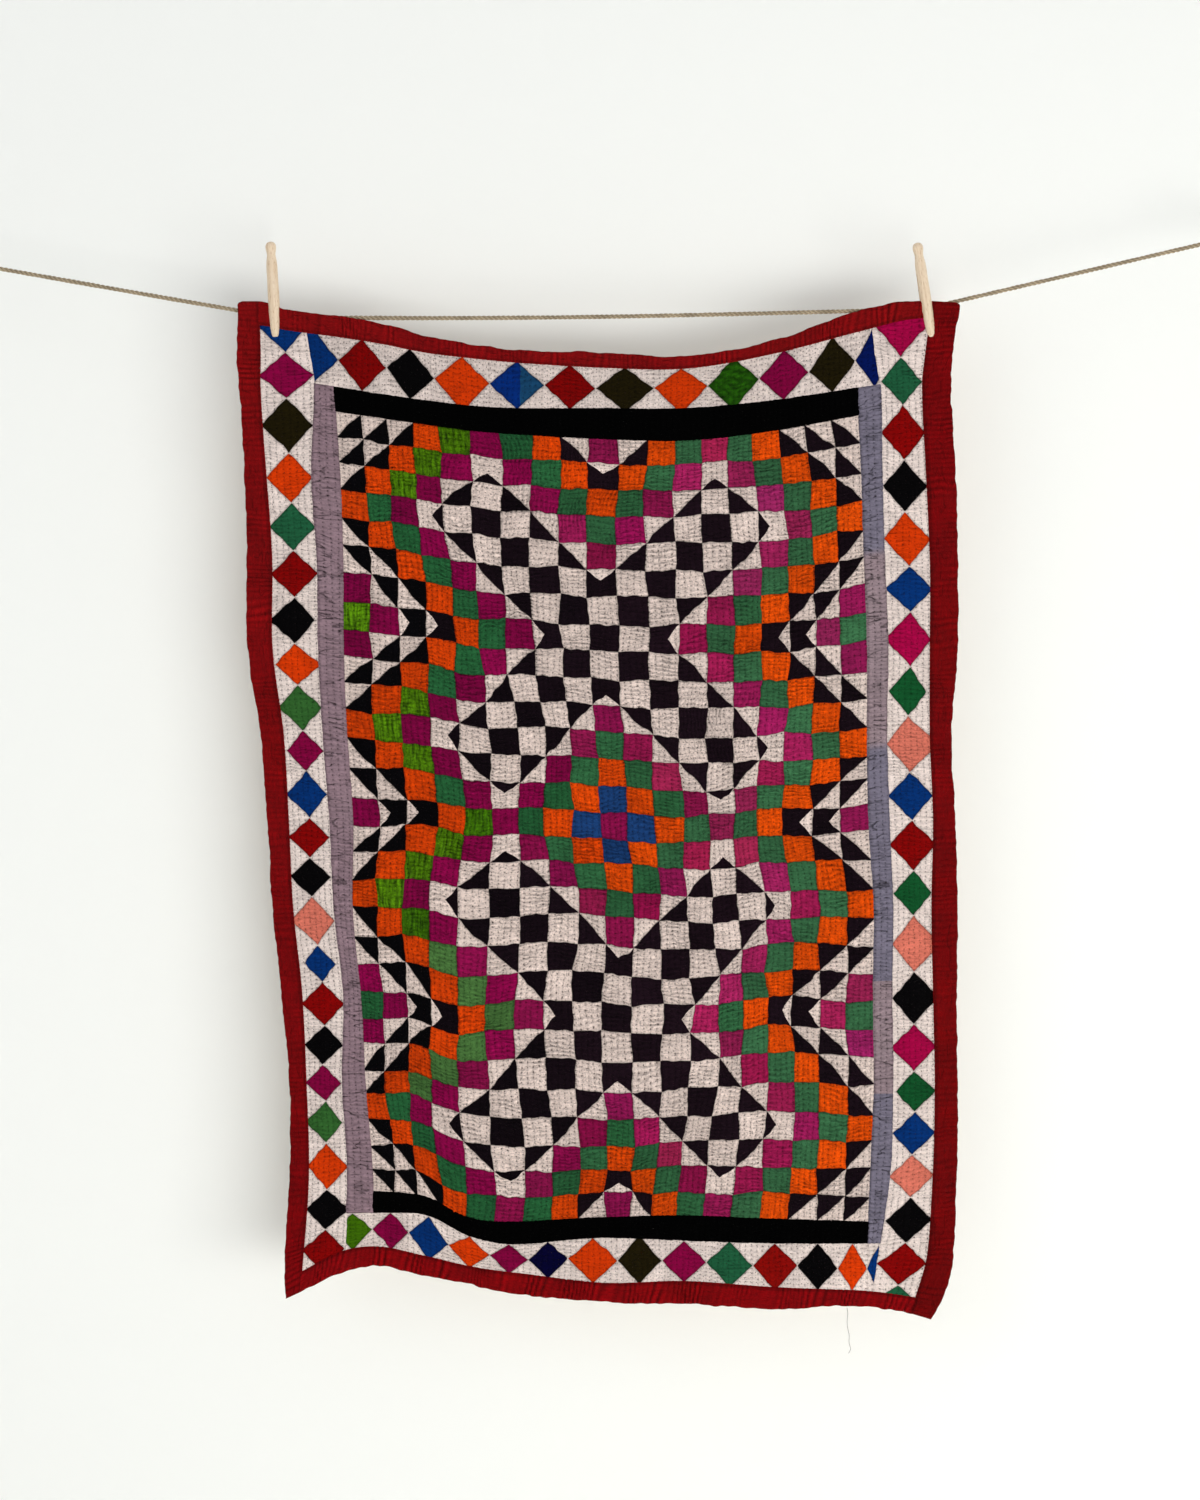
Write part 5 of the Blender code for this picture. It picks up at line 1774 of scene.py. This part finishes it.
def peg(name, node, head_across, head_down, lean, finish):
    """Turn a peg, saw its slot, ease its edges and lean it into place."""
    made = turned_body()
    saw_slot(made)
    made.name = made.data.name = name
    ease = made.modifiers.new("ease", "BEVEL")
    ease.width, ease.segments = EASE_WIDTH * MM, 2
    ease.limit_method, ease.angle_limit = "ANGLE", EASE_ANGLE
    bpy.ops.object.modifier_apply(modifier="ease")
    made.rotation_euler = (0, -radians(lean), 0)
    made.location = place(np.array(head_across), np.array(head_down), np.array(PEG_FORWARD))
    bpy.ops.object.transform_apply(location=True, rotation=True)
    bpy.ops.object.shade_smooth_by_angle(angle=SMOOTH_ANGLE)
    made.data.materials.clear()
    made.data.materials.append(finish)
    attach(made, "root")
    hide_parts(node)
    low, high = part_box(node)
    size = np.ptp(np.array([v.co for v in made.data.vertices]), axis=0) / MM
    print(name, "frame", [round((b - a) / MM, 1) for a, b in zip(low, high)], "made", size.round(1).tolist())
    return made


# sockets of a Mix node that mixes colours
FIRST_COLOUR, SECOND_COLOUR, MIXED_COLOUR = 6, 7, 2


def peg_wood(name, lean):
    """Pale beech: fine grain along the peg and short dark flecks."""
    made, shader, node, link = new_finish(name)
    where = node("ShaderNodeTexCoord").outputs["Object"]
    upright = node("ShaderNodeMapping", Vector=where, Rotation=(0, radians(lean), 0))
    grain = noise(node, upright.outputs[0], squash=(420.0, 420.0, 16.0), Detail=6.0, Roughness=0.6)
    flecks = noise(node, upright.outputs[0], squash=(1300.0, 1300.0, 180.0), Detail=2.0)
    wood = ramp(node, grain, [(0.25, dye(208, 178, 144)), (0.5, dye(230, 207, 178)),
                              (0.75, dye(238, 219, 194))])
    dark = ramp(node, flecks, [(0.30, dye(190, 152, 106)), (0.42, (1, 1, 1))])
    mixed = node("ShaderNodeMix", [("data_type", "RGBA"), ("blend_type", "MULTIPLY")])
    mixed.inputs["Factor"].default_value = 0.55
    link(wood.outputs["Color"], mixed.inputs[FIRST_COLOUR])
    link(dark.outputs["Color"], mixed.inputs[SECOND_COLOUR])
    link(mixed.outputs[MIXED_COLOUR], shader.inputs["Base Color"])
    bump = node("ShaderNodeBump", Strength=0.3, Distance=0.0003, Height=grain)
    link(bump.outputs["Normal"], shader.inputs["Normal"])
    link(remap(node, grain, 0.3, 0.7, 0.5, 0.68), shader.inputs["Roughness"])
    shader.inputs["Specular IOR Level"].default_value = 0.4
    return made


for side, head_across, head_down, lean in (("left", -379.5, -67.6, 3.2), ("right", 365.2, -66.4, 8.4)):
    peg(f"turned_peg_{side}", f"peg_{side}", head_across, head_down, lean, peg_wood(f"peg wood {side}", lean))

# %% [markdown]
# One loose thread
#
# A quilting thread has worked loose at the bottom edge and hangs below it.

# %% Loose thread
THREAD_WIDE, THREAD_LEVEL = 0.6, 2.6
LOOSE_THREAD = np.array([
    (285.0, 1161.0), (285.8, 1168.0), (285.0, 1176.0), (285.6, 1184.0), (287.2, 1192.0), (287.0, 1200.0),
    (288.6, 1207.0), (287.8, 1210.0), (286.2, 1212.5),
])
thread_curve = bpy.data.curves.new("loose_thread", "CURVE")
thread_curve.dimensions = "3D"
thread_curve.bevel_depth, thread_curve.bevel_resolution = THREAD_WIDE / 2 * MM, 1
thread_curve.use_fill_caps = True
where = np.linspace(0, len(LOOSE_THREAD) - 1, 48)
run = smooth_through(np.arange(len(LOOSE_THREAD)), LOOSE_THREAD, where)
thread_points = place(run[:, 0], run[:, 1], THREAD_LEVEL + fold_depth(run[:, 0], run[:, 1]))
spline = thread_curve.splines.new("POLY")
spline.points.add(len(thread_points) - 1)
for point, here in zip(spline.points, thread_points):
    point.co = (*here, 1.0)
loose_thread = bpy.data.objects.new("loose_thread", thread_curve)
bpy.context.collection.objects.link(loose_thread)


def thread_look():
    """Grey-brown cotton with an uneven twist."""
    made, shader, node, link = new_finish("loose thread")
    where = node("ShaderNodeTexCoord").outputs["Object"]
    twist = noise(node, where, 900.0, Detail=2.0)
    tone = ramp(node, twist, [(0.3, dye(112, 106, 104)), (0.7, dye(168, 160, 156))])
    link(tone.outputs["Color"], shader.inputs["Base Color"])
    shader.inputs["Roughness"].default_value = 0.85
    return made


thread_curve.materials.append(thread_look())
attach(loose_thread, "root")
